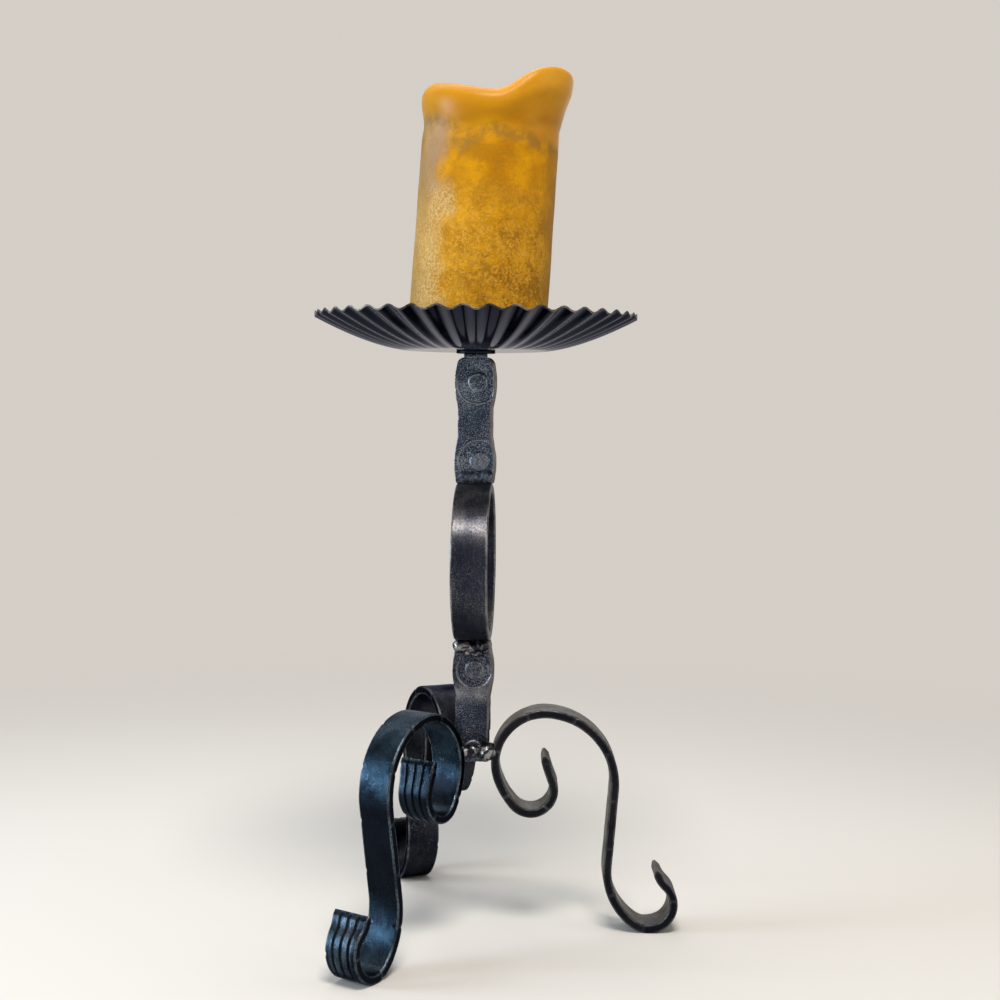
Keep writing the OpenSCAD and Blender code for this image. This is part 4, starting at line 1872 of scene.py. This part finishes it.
@dataclass
class DripPan:
    """The fluted sheet dish with its scalloped rim and flat floor."""

    finish: Finish
    radius: float = 88.98
    floor_radius: float = 37.0
    floor_rings: tuple[float, ...] = (2.55, 14.0, 26.0, 34.0, 36.4)
    depth: float = 18.6
    wall_curve: float = 1.5
    sheet: float = 1.0
    flutes: int = 42
    flute_depth: float = 2.4
    flute_curve: float = 0.8
    steps_a_flute: int = 12
    bands: int = 22
    band_curve: float = 1.05
    crispness: float = 0.93
    rim_crispness: float = 0.4
    crisp_to: float = 0.72
    # Wear on the flutes' lowest crests, painted lighter to stand in for their streaks of highlight.
    ridge_wear_and_highlight: float = 0.15
    ridge_fade: float = 8.0
    rim_round: float = 0.28
    rim_support: float = 0.6
    sharp: float = 60.0

    def _lift(self, r: float, angle: float) -> float:
        """The height of the sheet's underside above the floor's.

        Args:
            r: The distance from the axis.
            angle: The place round it.

        Returns:
            The height.
        """
        share = max(0.0, (r - self.floor_radius) / (self.radius - self.floor_radius))
        softer = smooth_step(share, self.crisp_to, 1.0)
        crisp = self.crispness + (self.rim_crispness - self.crispness) * softer
        fold = math.asin(crisp * math.cos(self.flutes * angle)) / math.asin(crisp)
        rise = self.depth * share**self.wall_curve
        return rise + self.flute_depth / 2 * share**self.flute_curve * fold

    def _radii(self) -> list[float]:
        """The radii of the profile's points, from the bore to the rim."""
        span = self.radius - self.floor_radius
        shares = [(k / self.bands) ** self.band_curve for k in range(self.bands)]
        wall = [self.floor_radius + span * share for share in shares]
        return [*self.floor_rings, *wall, self.radius - self.rim_support, self.radius]

    def _rim_edges(self, bm: BMesh) -> list[BMEdge]:
        """The edges along the rim, without the short ones through the sheet.

        Args:
            bm: The pan's mesh.

        Returns:
            The edges.
        """
        rim = []
        for edge in bm.edges:
            first, second = (vert.co for vert in edge.verts)
            outer = min(math.hypot(first.x, first.y), math.hypot(second.x, second.y))
            if outer > self.radius - 0.01 and abs(first.z - second.z) < 0.9 * self.sheet:
                rim.append(edge)
        return rim

    def build(self) -> None:
        """Spins the dish's profile, folds its flutes and gives the sheet its thickness."""
        low = low_corner("drip_pan").z
        bm = bmesh.new()
        worn = bm.verts.layers.float.new(WEAR_AND_PAINTED_LIGHT_LAYER)
        verts = [bm.verts.new((r, 0, 0)) for r in self._radii()]
        full_spin(bm, verts + open_line(bm, verts), Z_AXIS, self.flutes * self.steps_a_flute)
        for vert in bm.verts:
            r = math.hypot(vert.co.x, vert.co.y)
            angle = math.atan2(vert.co.y, vert.co.x)
            vert.co.z = low + self._lift(r, angle)
            # Wear and painted highlight along the flutes' lowest crests.
            ridge = smooth_step(math.cos(self.flutes * angle), -0.8, -1.0)
            out = smooth_step(r, self.floor_radius, self.floor_radius + self.ridge_fade)
            vert[worn] = self.ridge_wear_and_highlight * ridge * out
        upper = bmesh.ops.extrude_face_region(bm, geom=bm.faces[:])["geom"]
        raised = [g for g in upper if isinstance(g, BMVert)]
        bmesh.ops.translate(bm, vec=(0, 0, self.sheet), verts=raised)
        for vert in round_edges(bm, self._rim_edges(bm), self.rim_round):
            vert[worn] = 1.0
        Piece("drip_pan_sheet", Body.STAND, Slot.STEEL, self.finish, ("drip_pan",), self.sharp).place(bm)


@dataclass
class TurnedPiece:
    """A small piece of revolution, from its profile of radii and heights."""

    name: str
    profile: tuple[tuple[float, float], ...]
    finish: Finish
    replaced: str
    steps: int = 72
    bevel: float = 0.3
    crease: float = 35.0
    wear: float = 0.8

    def build(self) -> None:
        """Spins the profile and rounds its edges."""
        bm = bmesh.new()
        worn = bm.verts.layers.float.new(WEAR_AND_PAINTED_LIGHT_LAYER)
        verts = [bm.verts.new((r, 0, z)) for r, z in self.profile]
        full_spin(bm, verts + closed_loop(bm, verts), Z_AXIS, self.steps)
        bmesh.ops.remove_doubles(bm, verts=bm.verts, dist=0.0005)
        bmesh.ops.recalc_face_normals(bm, faces=bm.faces)
        limit = math.radians(self.crease)
        joined = [e for e in bm.edges if len(e.link_faces) == 2]
        creased = [e for e in joined if e.calc_face_angle(0) > limit]
        for vert in round_edges(bm, creased, self.bevel):
            vert[worn] = self.wear
        Piece(self.name, Body.STAND, Slot.STEEL, self.finish, (self.replaced,)).place(bm)


@dataclass
class PillarCandle:
    """The pillar candle: a leaning wall, a swollen rim with a lip, a pool and the pricket's hole.

    Places up the wall are shares of the rim's height.
    """

    finish: Finish
    radius: float = 38.7
    height: float = 134.0
    lean: float = 3.5
    taper: float = 1.0
    foot_round: float = 2.0
    foot_ring: float = 36.6
    rim_rise: float = 9.5
    rim_curve: float = 2.5
    swell: float = 1.6
    swell_at: float = 0.94
    swell_reach: float = 0.05
    waist: float = 0.7
    waist_at: float = 0.845
    waist_reach: float = 0.035
    lip_rise: float = 15.5
    lip_reach: float = 4.5
    lip_half: float = 71.0
    lip_from: float = 0.8
    lip_run: float = 0.16
    lip_curve: float = 0.8
    pool_depth: float = 22.0
    pool_fall: float = 1.9
    pool_curve: float = 2.2
    crest: float = 6.4
    crest_from: float = 0.942
    lip_crest: float = 0.62
    lip_square: float = 0.5
    dent: float = 0.25
    dent_size: float = 22.0
    hole: tuple[tuple[float, float], ...] = ((9.4, 0.0), (9.4, 1.9), (4.9, 1.9), (0.9, 33.9), (0.0, 34.0))
    wall_rings: int = 64
    crest_rings: int = 12
    pool_rings: int = 12
    steps: int = 160
    sharp: float = 50.0

    def _lip(self, angle: float) -> float:
        """The share of the lip at an angle, from 1 in its middle to 0."""
        return math.exp(-((abs(math.degrees(angle)) / self.lip_half) ** 6))

    def _rim(self, angle: float) -> float:
        """The rim's height at an angle."""
        far = (1 - math.cos(angle)) / 2
        return self.height + self.rim_rise * far**self.rim_curve + self.lip_rise * self._lip(angle)

    def _wall(self, share: float, angle: float) -> float:
        """The wall's radius at a share of the rim's height.

        Args:
            share: The share.
            angle: The place round it.

        Returns:
            The radius.
        """
        lip = self._lip(angle)
        swollen = self.swell * bell(share - self.swell_at, self.swell_reach)
        waist = self.waist * bell(share - self.waist_at, self.waist_reach) * (1 - lip)
        run = min(1.0, max(0.0, (share - self.lip_from) / self.lip_run))
        flare = self.lip_reach * lip * run**self.lip_curve
        return self.radius - self.taper * share + swollen - waist + flare

    def _wall_point(self, share: float, angle: float) -> tuple[float, float]:
        """A point of the wall, from the foot to the crest.

        Args:
            share: How far up it lies.
            angle: Its place round it.

        Returns:
            Its radius and height.
        """
        level = self.crest_from * share
        z = level * self._rim(angle)
        foot = smooth_step(z, self.foot_round, 0.0)
        r = self._wall(level, angle) * (1 - foot) + self.foot_ring * foot
        way = Vector((math.cos(angle), math.sin(angle), z / 40))
        inside = smooth_step(z, 3.0, 20.0)
        return r - inside * self.dent * (1 + wave(way * 38, self.dent_size, 2.0)), z

    def _crest_point(self, share: float, angle: float) -> tuple[float, float]:
        """A point of the rounded crest, from the wall to the pool.

        Args:
            share: How far over the crest it lies.
            angle: Its place round it.

        Returns:
            Its radius and height.
        """
        lip = self._lip(angle)
        half = self.crest * (1 - self.lip_crest * lip)
        outer = self._wall(self.crest_from, angle)
        rim = self._rim(angle)
        base = self.crest_from * rim
        turn = math.pi * share
        square = 1 - self.lip_square * lip
        out = math.copysign(abs(math.cos(turn)) ** square, math.cos(turn))
        grown = self._wall(1.0, angle) - outer
        spread = grown * (1 - share) * (1 - abs(math.cos(turn)))
        r = outer - half + half * out + spread
        return r, base + (rim - base) * max(0.0, math.sin(turn)) ** square

    def _pool_point(self, share: float, angle: float) -> tuple[float, float]:
        """A point of the melt pool, from the crest to the middle.

        Args:
            share: How far in it lies.
            angle: Its place round it.

        Returns:
            Its radius and height.
        """
        half = self.crest * (1 - self.lip_crest * self._lip(angle))
        start = self._wall(self.crest_from, angle) - 2 * half
        base = self.crest_from * self._rim(angle)
        floor = self.height - self.pool_depth
        bank = max(0.0, 1 - self.pool_fall * share) ** self.pool_curve
        return start * (1 - share), floor + (base - floor) * bank

    def _plan(self) -> list[tuple[Zone, float]]:
        """The profile's points: the zone of each, and how far along the zone it lies.

        Returns:
            The points, from the hole to the pool.
        """
        last = len(self.hole) - 1
        walls = range(self.wall_rings + 1)
        crests = range(1, self.crest_rings)
        pools = range(self.pool_rings + 1)
        return (
            [(Zone.HOLE, (last - k) / last) for k in range(last + 1)]
            + [(Zone.WALL, k / self.wall_rings) for k in walls]
            + [(Zone.CREST, k / self.crest_rings) for k in crests]
            + [(Zone.POOL, k / self.pool_rings) for k in pools]
        )

    def _hole_point(self, share: float, angle: float) -> tuple[float, float]:
        """A point of the pricket's hole, which is the same all round."""
        return self.hole[round(share * (len(self.hole) - 1))]

    def build(self) -> None:
        """Spins the profile and moves its points to the candle's shape."""
        shapes = {
            Zone.HOLE: self._hole_point, Zone.WALL: self._wall_point,
            Zone.CREST: self._crest_point, Zone.POOL: self._pool_point,
        }
        plan = self._plan()
        bm = bmesh.new()
        place = bm.verts.layers.int.new(PLACE_LAYER)
        painted_crest_shade = bm.verts.layers.float.new(WEAR_AND_PAINTED_LIGHT_LAYER)
        verts = [bm.verts.new((1.0, 0, index)) for index in range(len(plan))]
        for index, vert in enumerate(verts):
            vert[place] = index
        full_spin(bm, verts + open_line(bm, verts), Z_AXIS, self.steps)
        slant = math.tan(math.radians(self.lean))
        for vert in bm.verts:
            zone, share = plan[vert[place]]
            angle = math.atan2(vert.co.y, vert.co.x)
            r, z = shapes[zone](share, angle)
            leans = 0.0 if zone is Zone.HOLE else slant * z
            vert.co = (r * math.cos(angle) + leans, r * math.sin(angle), z)
            # Marks the crest for painted shade.
            vert[painted_crest_shade] = math.sin(math.pi * share) ** 0.7 if zone is Zone.CREST else 0.0
        bmesh.ops.remove_doubles(bm, verts=bm.verts, dist=0.001)
        bmesh.ops.translate(bm, vec=(0, 0, low_corner("candle").z), verts=bm.verts)
        Piece("candle_wax", Body.PILLAR, Slot.WAX, self.finish, ("candle",), self.sharp).place(bm)


@dataclass
class Wick:
    """The braided wick that stands in the melt pool."""

    finish: Finish
    strands: int = 3
    strand_radius: float = 0.62
    strand_sides: int = 10
    braid_radius: float = 0.6
    turns: float = 2.6
    steps: int = 70
    gap: float = 0.2
    sharp: float = 60.0

    def build(self) -> None:
        """Screws each strand up the wick."""
        low, high = low_corner("wick"), high_corner("wick")
        middle = (low + high) / 2
        rise = (high.z - low.z - 2 * self.gap) / self.steps
        bm = bmesh.new()
        for strand in range(self.strands):
            circle = bmesh.ops.create_circle(
                bm, segments=self.strand_sides, radius=self.strand_radius, cap_ends=True
            )["verts"]
            around = math.tau * strand / self.strands
            at = self.braid_radius * Vector((math.cos(around), math.sin(around), 0))
            bmesh.ops.translate(bm, vec=at, verts=circle)
            faces = list(dict.fromkeys(face for vert in circle for face in vert.link_faces))
            bmesh.ops.spin(
                bm, geom=circle + edges_of(circle) + faces, cent=(0, 0, 0), axis=Z_AXIS,
                angle=math.tau * self.turns, dvec=(0, 0, rise), steps=self.steps,
                use_duplicate=False,
            )
        bmesh.ops.translate(bm, vec=(middle.x, middle.y, low.z + self.gap), verts=bm.verts)
        Piece("wick_braid", Body.PILLAR, Slot.WICK, self.finish, ("wick",), self.sharp).place(bm)


@dataclass
class Stem:
    """The stem: two stamped bars, the ring between them and the ring's welds."""

    lower_finish: Finish
    upper_finish: Finish
    ring_finish: Finish
    weld_finish: Finish
    painted_highlight_weld: Finish
    bite: float = 0.12
    neck_height: float = 2.0
    ring_turn: float = -4.0
    weld_first: float = 4.7
    weld_last: float = 3.1
    weld_run: float = 6.0
    weld_off: float = 3.1
    weld_drops: int = 6
    # How far the painted highlight reaches round its spot on the ring's welds.
    weld_painted_highlight: float = 8.0
    ridge_off: float = 7.4
    ridge_radius: float = 1.8
    ridge_out: float = 2.2
    ridge_start: float = 2.5
    ridge_end: float = -5.5
    ridge_fall: float = 0.6
    ridge_drops: int = 5

    def build(self) -> None:
        """Builds the stem's pieces from the bottom up."""
        ring_low, ring_high = low_corner("stem_ring").z, high_corner("stem_ring").z
        foot = low_corner("lower_stem").z
        top = low_corner("pan_washer").z - self.neck_height
        StampedBar(
            name="lower_stem",
            bottom=foot,
            top=ring_low + self.bite,
            # A roundel's below value paints a highlight on the bar under it.
            roundels=(
                Roundel(ring_low - 17.0, 0.7, rubbed=0.35, below=0.75),
                Roundel(ring_low - 62.0, 0.4),
            ),
            swells=(ring_low - 17.0,),
            finish=self.lower_finish,
            seed=1.3,
            toe_height=18.0,
        ).build()
        StemRing(self.ring_finish, self.ring_turn).build()
        UpperBar(
            name="upper_stem",
            bottom=ring_high - self.bite,
            top=top,
            roundels=(
                Roundel(top - 14.0, 1.2, 11.4, 0.15),
                Roundel(top - 58.0, 2.4, 11.4, 0.5, arch=0.9),
            ),
            swells=(top - 14.0, top - 59.0),
            finish=self.upper_finish,
            seed=4.1,
            shoulder=4.0,
            neck_height=self.neck_height,
        ).build()
        self._ring_weld("weld_ring_bottom", ring_low, -1, 2.1, True, self.painted_highlight_weld, 11.0)
        self._ring_weld("weld_ring_top", ring_high, 1, 0.7, False, self.weld_finish, 17.0)

    def _ring_weld(
        self, node: str, level: float, up: int, out: float, ridged: bool, finish: Finish,
        seed: float,
    ) -> None:
        """Builds the beads on both sides of a bar's end.

        Args:
            node: The CAD node.
            level: The height of the ring's outside.
            up: 1 above the ring, -1 below it.
            out: How far the drops are off the stem's middle plane.
            ridged: Whether it has small drops on the bar.
            finish: Its finish.
            seed: Its seed.
        """
        turned = Matrix.Rotation(math.radians(self.ring_turn / 2), 3, "Z")
        z = level + up * self.weld_off
        ridge = level + up * self.ridge_off
        rows = []
        for side in (-1, 1):
            left = turned @ Vector((side * self.weld_run, side * out, z))
            right = turned @ Vector((-side * self.weld_run, side * out, z))
            rows.append(DropRow(left, right, self.weld_first, self.weld_last, self.weld_drops))
            if not ridged:
                continue
            off = side * self.ridge_out
            start = turned @ Vector((side * self.ridge_start, off, ridge))
            end = turned @ Vector((side * self.ridge_end, off, ridge - self.ridge_fall))
            small = self.ridge_radius
            rows.append(DropRow(start, end, small, small, self.ridge_drops))
        # The spot where the weld's painted highlight is strongest.
        spot = turned @ Vector((-0.6 * self.weld_run, -out - self.weld_first, z))
        WeldBead(node, tuple(rows), finish, seed, spot, self.weld_painted_highlight).build()


@dataclass
class Tripod:
    """The three legs and the beads that hold them to the stem."""

    leg_finishes: tuple[Finish, Finish, Finish]
    weld_finish: Finish
    weld_height: float = 6.9
    first_weld_seed: float = 23.0
    plans: tuple[LegPlan, ...] = (
        LegPlan("right", -1.5, 0.0, 0.0, 1.0, 0.0, (
            DropRow(Vector((-1.8, -5.6, -0.2)), Vector((4.4, -6.4, 0.2)), 4.4, 4.6, 4),
            DropRow(Vector((9.2, -6.2, 0.1)), Vector((8.6, -8.4, 0)), 5.2, 5.2, 2),
        )),
        LegPlan("front", -124.0, -4.3, 2.0, 0.62, 0.90, (
            DropRow(Vector((-9.3, -5.1, 0)), Vector((-4.8, -6.6, 0)), 3.8, 3.4, 5),
        )),
        LegPlan("back", 112.5, 1.5, 4.5, 0.55, 0.0, (
            DropRow(Vector((-8.4, 5.7, 0)), Vector((0, 7.6, 0)), 4.0, 4.0, 5),
        )),
    )

    def build(self) -> None:
        """Builds the legs, then their beads."""
        height = low_corner("lower_stem").z + self.weld_height
        for index, (plan, finish) in enumerate(zip(self.plans, self.leg_finishes)):
            Leg(plan, finish, 2.0 + 5 * index).build()
        for index, plan in enumerate(self.plans):
            rows = tuple(row.lifted(height) for row in plan.bead)
            # The spot where the bead's painted highlight is strongest.
            spot = rows[-1].end - Vector((0, rows[-1].last, 0))
            node, seed = f"weld_{plan.name}", self.first_weld_seed + 4 * index
            WeldBead(node, rows, self.weld_finish, seed, spot).build()


@dataclass
class PanSet:
    """The pan, its washer below and the pricket above."""

    pan_finish: Finish
    dark_finish: Finish
    washer_radius: float = 10.8
    bore_radius: float = 2.55
    stud_room: float = 6.05
    base_radius: float = 9.0
    base_height: float = 1.5
    spike_radius: float = 4.5
    spike_point: float = 0.5
    spike_length: float = 32.0
    spike_fillet: float = 0.8
    spike_tip: float = 0.2
    spike_bevel: float = 0.15

    def build(self) -> None:
        """Builds the three pieces."""
        low, high = low_corner("pan_washer").z, high_corner("pan_washer").z
        inner, outer = self.bore_radius, self.washer_radius
        washer = ((inner, low), (outer, low), (outer, high), (inner, high))
        TurnedPiece("pan_washer_disc", washer, self.dark_finish, "pan_washer").build()
        DripPan(self.pan_finish).build()
        TurnedPiece(
            "pricket_spike", self._pricket(), self.dark_finish, "pricket", bevel=self.spike_bevel
        ).build()

    def _pricket(self) -> tuple[tuple[float, float], ...]:
        """The pricket's profile, from the top of its bore to its point.

        Returns:
            Radii and heights.
        """
        seat = low_corner("pricket").z
        base = seat + self.base_height
        bore = seat + self.stud_room
        top = base + self.spike_length
        return (
            (0.0, bore), (self.bore_radius, bore), (self.bore_radius, seat),
            (self.base_radius, seat), (self.base_radius, base),
            (self.spike_radius + self.spike_fillet, base),
            (self.spike_radius, base + self.spike_fillet),
            (self.spike_point, top - self.spike_tip), (0.0, top),
        )


@dataclass(frozen=True)
class StudioFloor(Finish):
    """A plain pale floor that keeps the object's shadow and fades into the background."""

    colour: Colour = (0.68, 0.645, 0.60)
    fade: Fade = Fade(0.25, 1.0)

    def surface(self, kit: NodeKit) -> Socket:
        """Makes the floor's shader.


        Returns:
            The shader's output.
        """
        matt = kit.add("ShaderNodeBsdfDiffuse")
        kit.feed(matt.inputs["Color"], self.colour)
        clear = kit.add("ShaderNodeBsdfTransparent")
        far = kit.add("ShaderNodeVectorMath", operation="LENGTH")
        kit.feed(far.inputs[0], kit.coordinates())
        return kit.mix_shaders(kit.ramp(far.outputs["Value"], self.fade), matt, clear)


@dataclass(frozen=True)
class SoftBox:
    """An area lamp: where it stands, what it looks at, its size, its power and its colour."""

    name: str
    at: Point
    aim: Point
    size: tuple[float, float]
    power: float
    colour: Colour = (1.0, 1.0, 1.0)

    def build(self) -> None:
        """Makes the lamp."""
        lamp = bpy.data.lights.new(self.name, "AREA")
        lamp.shape = "RECTANGLE"
        lamp.size, lamp.size_y = self.size
        lamp.energy = self.power
        lamp.color = self.colour
        way = Vector(self.aim) - Vector(self.at)
        turned = way.to_track_quat("-Z", "Y").to_matrix().to_4x4()
        new_object(self.name, lamp).matrix_world = Matrix.Translation(self.at) @ turned


@dataclass
class Studio:
    """The floor, the pale surroundings, the lamps and the camera."""

    background: Colour = (0.66, 0.62, 0.57)
    surround: Colour = (1.0, 1.0, 1.0)
    surround_level: float = 0.30
    floor_size: float = 4.0
    lamps: tuple[SoftBox, ...] = (
        SoftBox("lamp_top", (0.06, -0.58, 1.30), (0, 0, 0.24), (0.46, 0.36), 13.5,
                (1.0, 0.97, 0.93)),
        SoftBox("lamp_left", (-1.30, -0.22, 0.42), (0, 0, 0.22), (0.48, 0.52), 15.0,
                (0.74, 0.88, 1.0)),
        SoftBox("lamp_right", (1.5, -0.35, 0.7), (0, 0, 0.25), (0.8, 1.0), 4.5,
                (1.0, 0.96, 0.90)),
        SoftBox("lamp_over", (-0.15, 0.30, 1.25), (-0.02, 0, 0.15), (0.8, 0.8), 4.5,
                (0.97, 0.98, 1.0)),
        SoftBox("lamp_back", (0.3, 1.5, 0.8), (0, 0, 0.2), (1.2, 0.8), 2.0),
    )
    camera_at: Point = (0.0, -0.84919, 0.29599)
    camera_pitch: float = 3.61
    camera_yaw: float = 0.96
    camera_roll: float = 0.58
    lens: float = 54.84

    def build(self) -> None:
        """Builds the stage, the light and the camera."""
        bm = bmesh.new()
        bmesh.ops.create_circle(bm, cap_ends=True, segments=96, radius=self.floor_size)
        mesh = bpy.data.meshes.new("studio_floor")
        bm.to_mesh(mesh)
        bm.free()
        mesh.materials.append(StudioFloor("studio_floor").material())
        new_object("studio_floor", mesh)
        self._world()
        for lamp in self.lamps:
            lamp.build()
        self._camera()
        bpy.context.scene.view_settings.view_transform = "Standard"

    def _world(self) -> None:
        """Sets a pale background for what looks at it, and a plain level of light for the rest."""
        world = bpy.data.worlds.new("studio")
        bpy.context.scene.world = world
        kit = NodeKit.fresh(world)
        path = kit.add("ShaderNodeLightPath").outputs
        mirrored = kit.maths("MAXIMUM", path["Is Glossy Ray"], path["Is Transmission Ray"])
        seen = kit.maths("MAXIMUM", path["Is Camera Ray"], mirrored)
        shown = kit.add("ShaderNodeBackground")
        kit.feed_all(shown.inputs, Color=self.background, Strength=1.0)
        lit = kit.add("ShaderNodeBackground")
        kit.feed_all(lit.inputs, Color=self.surround, Strength=self.surround_level)
        end = kit.add("ShaderNodeOutputWorld")
        kit.feed(end.inputs["Surface"], kit.mix_shaders(seen, lit, shown))

    def _camera(self) -> None:
        """Stands the camera at the photograph's viewing angle."""
        data = bpy.data.cameras.new("camera")
        data.lens = self.lens
        camera = new_object("camera", data)
        turn = (
            Matrix.Rotation(math.radians(-self.camera_yaw), 4, "Z")
            @ Matrix.Rotation(math.radians(90 - self.camera_pitch), 4, "X")
            @ Matrix.Rotation(math.radians(self.camera_roll), 4, "Z")
        )
        camera.matrix_world = Matrix.Translation(self.camera_at) @ turn
        bpy.context.scene.camera = camera


@dataclass
class CandleHolder:
    """The whole object and its finishes."""

    # The legs are one steel, tuned to how each is lit: the right leg's paler sheen is painted light, the
    # front leg's darker deep and sheen are painted shade, and every leg's dark side tone is painted shade
    # on its narrow sides.
    right_leg_painted_light: Finish = BlackenedSteel(
        "steel_right_leg_painted_light", sheen=(0.055, 0.052, 0.054),
        specks=Speckle((0.12, 0.12, 0.13), scale=1500.0),
        side=(0.008, 0.009, 0.013), side_painted_light_cover=0.82, worn=(0.24, 0.235, 0.25), worn_amount=0.45,
        brush_amount=0.1, grazing=(0.80, 0.79, 0.76),
    )
    front_leg_painted_shade: Finish = BlackenedSteel(
        "steel_front_leg_painted_shade", deep=(0.0025, 0.004, 0.008), sheen=(0.0120, 0.0250, 0.0390),
        specks=Speckle((0.070, 0.128, 0.172), 0.55, 1450.0),
        side=(0.006, 0.007, 0.011), worn=(0.20, 0.26, 0.32), worn_amount=0.45,
        brushed=(0.04, 0.055, 0.075), brush_amount=0.14, polish=Fade(0.3, 0.7, 0.25, 0.35),
        grazing=(0.55, 0.57, 0.62),
    )
    back_leg: Finish = BlackenedSteel(
        "steel_back_leg", sheen=(0.034, 0.038, 0.046), specks=Speckle((0.09, 0.095, 0.105)),
        worn_amount=0.4, brush_amount=0.1,
    )
    lower_bar: Finish = BlackenedSteel(
        "steel_lower_bar", deep=(0.013, 0.018, 0.031), sheen=(0.030, 0.038, 0.060),
        specks=Speckle((0.205, 0.228, 0.285), 0.92, 1650.0),
        # The pale side tone is a painted reflection on the bar's lit right front corner, and the worn
        # colour carries the roundels' painted highlights.
        side=(0.115, 0.095, 0.090), worn=(0.50, 0.50, 0.51), worn_amount=1.0,
        brush_amount=0.05, metal=0.85,
    )
    upper_bar: Finish = BlackenedSteel(
        "steel_upper_bar", deep=(0.020, 0.029, 0.051), sheen=(0.043, 0.060, 0.096),
        specks=Speckle((0.320, 0.370, 0.450), 0.92, 1650.0),
        # The pale side tone is a painted reflection on the bar's lit right front corner, and the worn
        # colour carries the roundels' painted highlights.
        side=(0.115, 0.095, 0.090), worn=(0.50, 0.51, 0.54), worn_amount=0.9,
        brush_amount=0.05, metal=0.85,
    )
    ring: Finish = BlackenedSteel(
        "steel_ring", deep=(0.012, 0.015, 0.028), sheen=(0.023, 0.027, 0.044),
        specks=Speckle((0.135, 0.130, 0.138), 0.8, 1750.0),
        # The side tone paints the ring's narrow sides lighter, and the worn colour carries its painted
        # highlight and its lighter top: painted light.
        side=(0.05, 0.05, 0.06), worn=(0.42, 0.395, 0.38), worn_amount=0.6,
        brushed=(0.11, 0.10, 0.10), brush_amount=0.14, polish=Fade(0.3, 0.7, 0.27, 0.36),
        skin=ForgedSkin(0.25, 0.3), metal=0.75,
    )
    pan: Finish = BlackenedSteel(
        "steel_pan", deep=(0.0042, 0.0058, 0.0130), sheen=(0.0065, 0.0088, 0.0180),
        specks=Speckle((0.025, 0.028, 0.040), 0.3),
        worn=(0.34, 0.31, 0.27), worn_amount=0.7, brush_amount=0.0,
        polish=Fade(0.3, 0.7, 0.13, 0.17), edge_rough=0.35, grazing=(0.86, 0.87, 0.95),
        skin=ForgedSkin(0.06, 0.03),
    )
    dark_fittings: Finish = BlackenedSteel(
        "steel_dark_fittings", deep=(0.006, 0.007, 0.012), sheen=(0.012, 0.015, 0.024),
        specks=Speckle((0.05, 0.055, 0.07)), worn_amount=0.05, brush_amount=0.0,
    )
    weld: Finish = WeldMetal(
        "weld_dark", dark=(0.034, 0.044, 0.066), bright=(0.17, 0.195, 0.24), painted_crown_highlight=0.7,
        specks=Speckle((0.20, 0.23, 0.28), 0.9, 1250.0, 160.0, 0.4, 0.17, 0.8), metal=0.5,
    )
    # The brighter weld: its crowns take more painted highlight.
    painted_highlight_weld: Finish = WeldMetal("weld_painted_highlight", painted_crown_highlight=0.95)
    wax: Finish = Wax("amber_wax")
    cotton: Finish = CharredCotton("charred_cotton")

    def build(self) -> None:
        """Builds every sub-assembly, from the floor up."""
        Tripod((self.right_leg_painted_light, self.front_leg_painted_shade, self.back_leg), self.painted_highlight_weld).build()
        Stem(self.lower_bar, self.upper_bar, self.ring, self.weld, self.painted_highlight_weld).build()
        PanSet(self.pan, self.dark_fittings).build()
        PillarCandle(self.wax).build()
        Wick(self.cotton).build()


def main() -> None:
    """Builds the studio and the object."""
    logging.basicConfig(level=logging.INFO, format="%(name)s %(message)s")
    LOG.info("%d nodes in the frame", len(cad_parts))
    Studio().build()
    CandleHolder().build()
    LOG.info("boxes written")


if __name__ == "__main__":
    main()
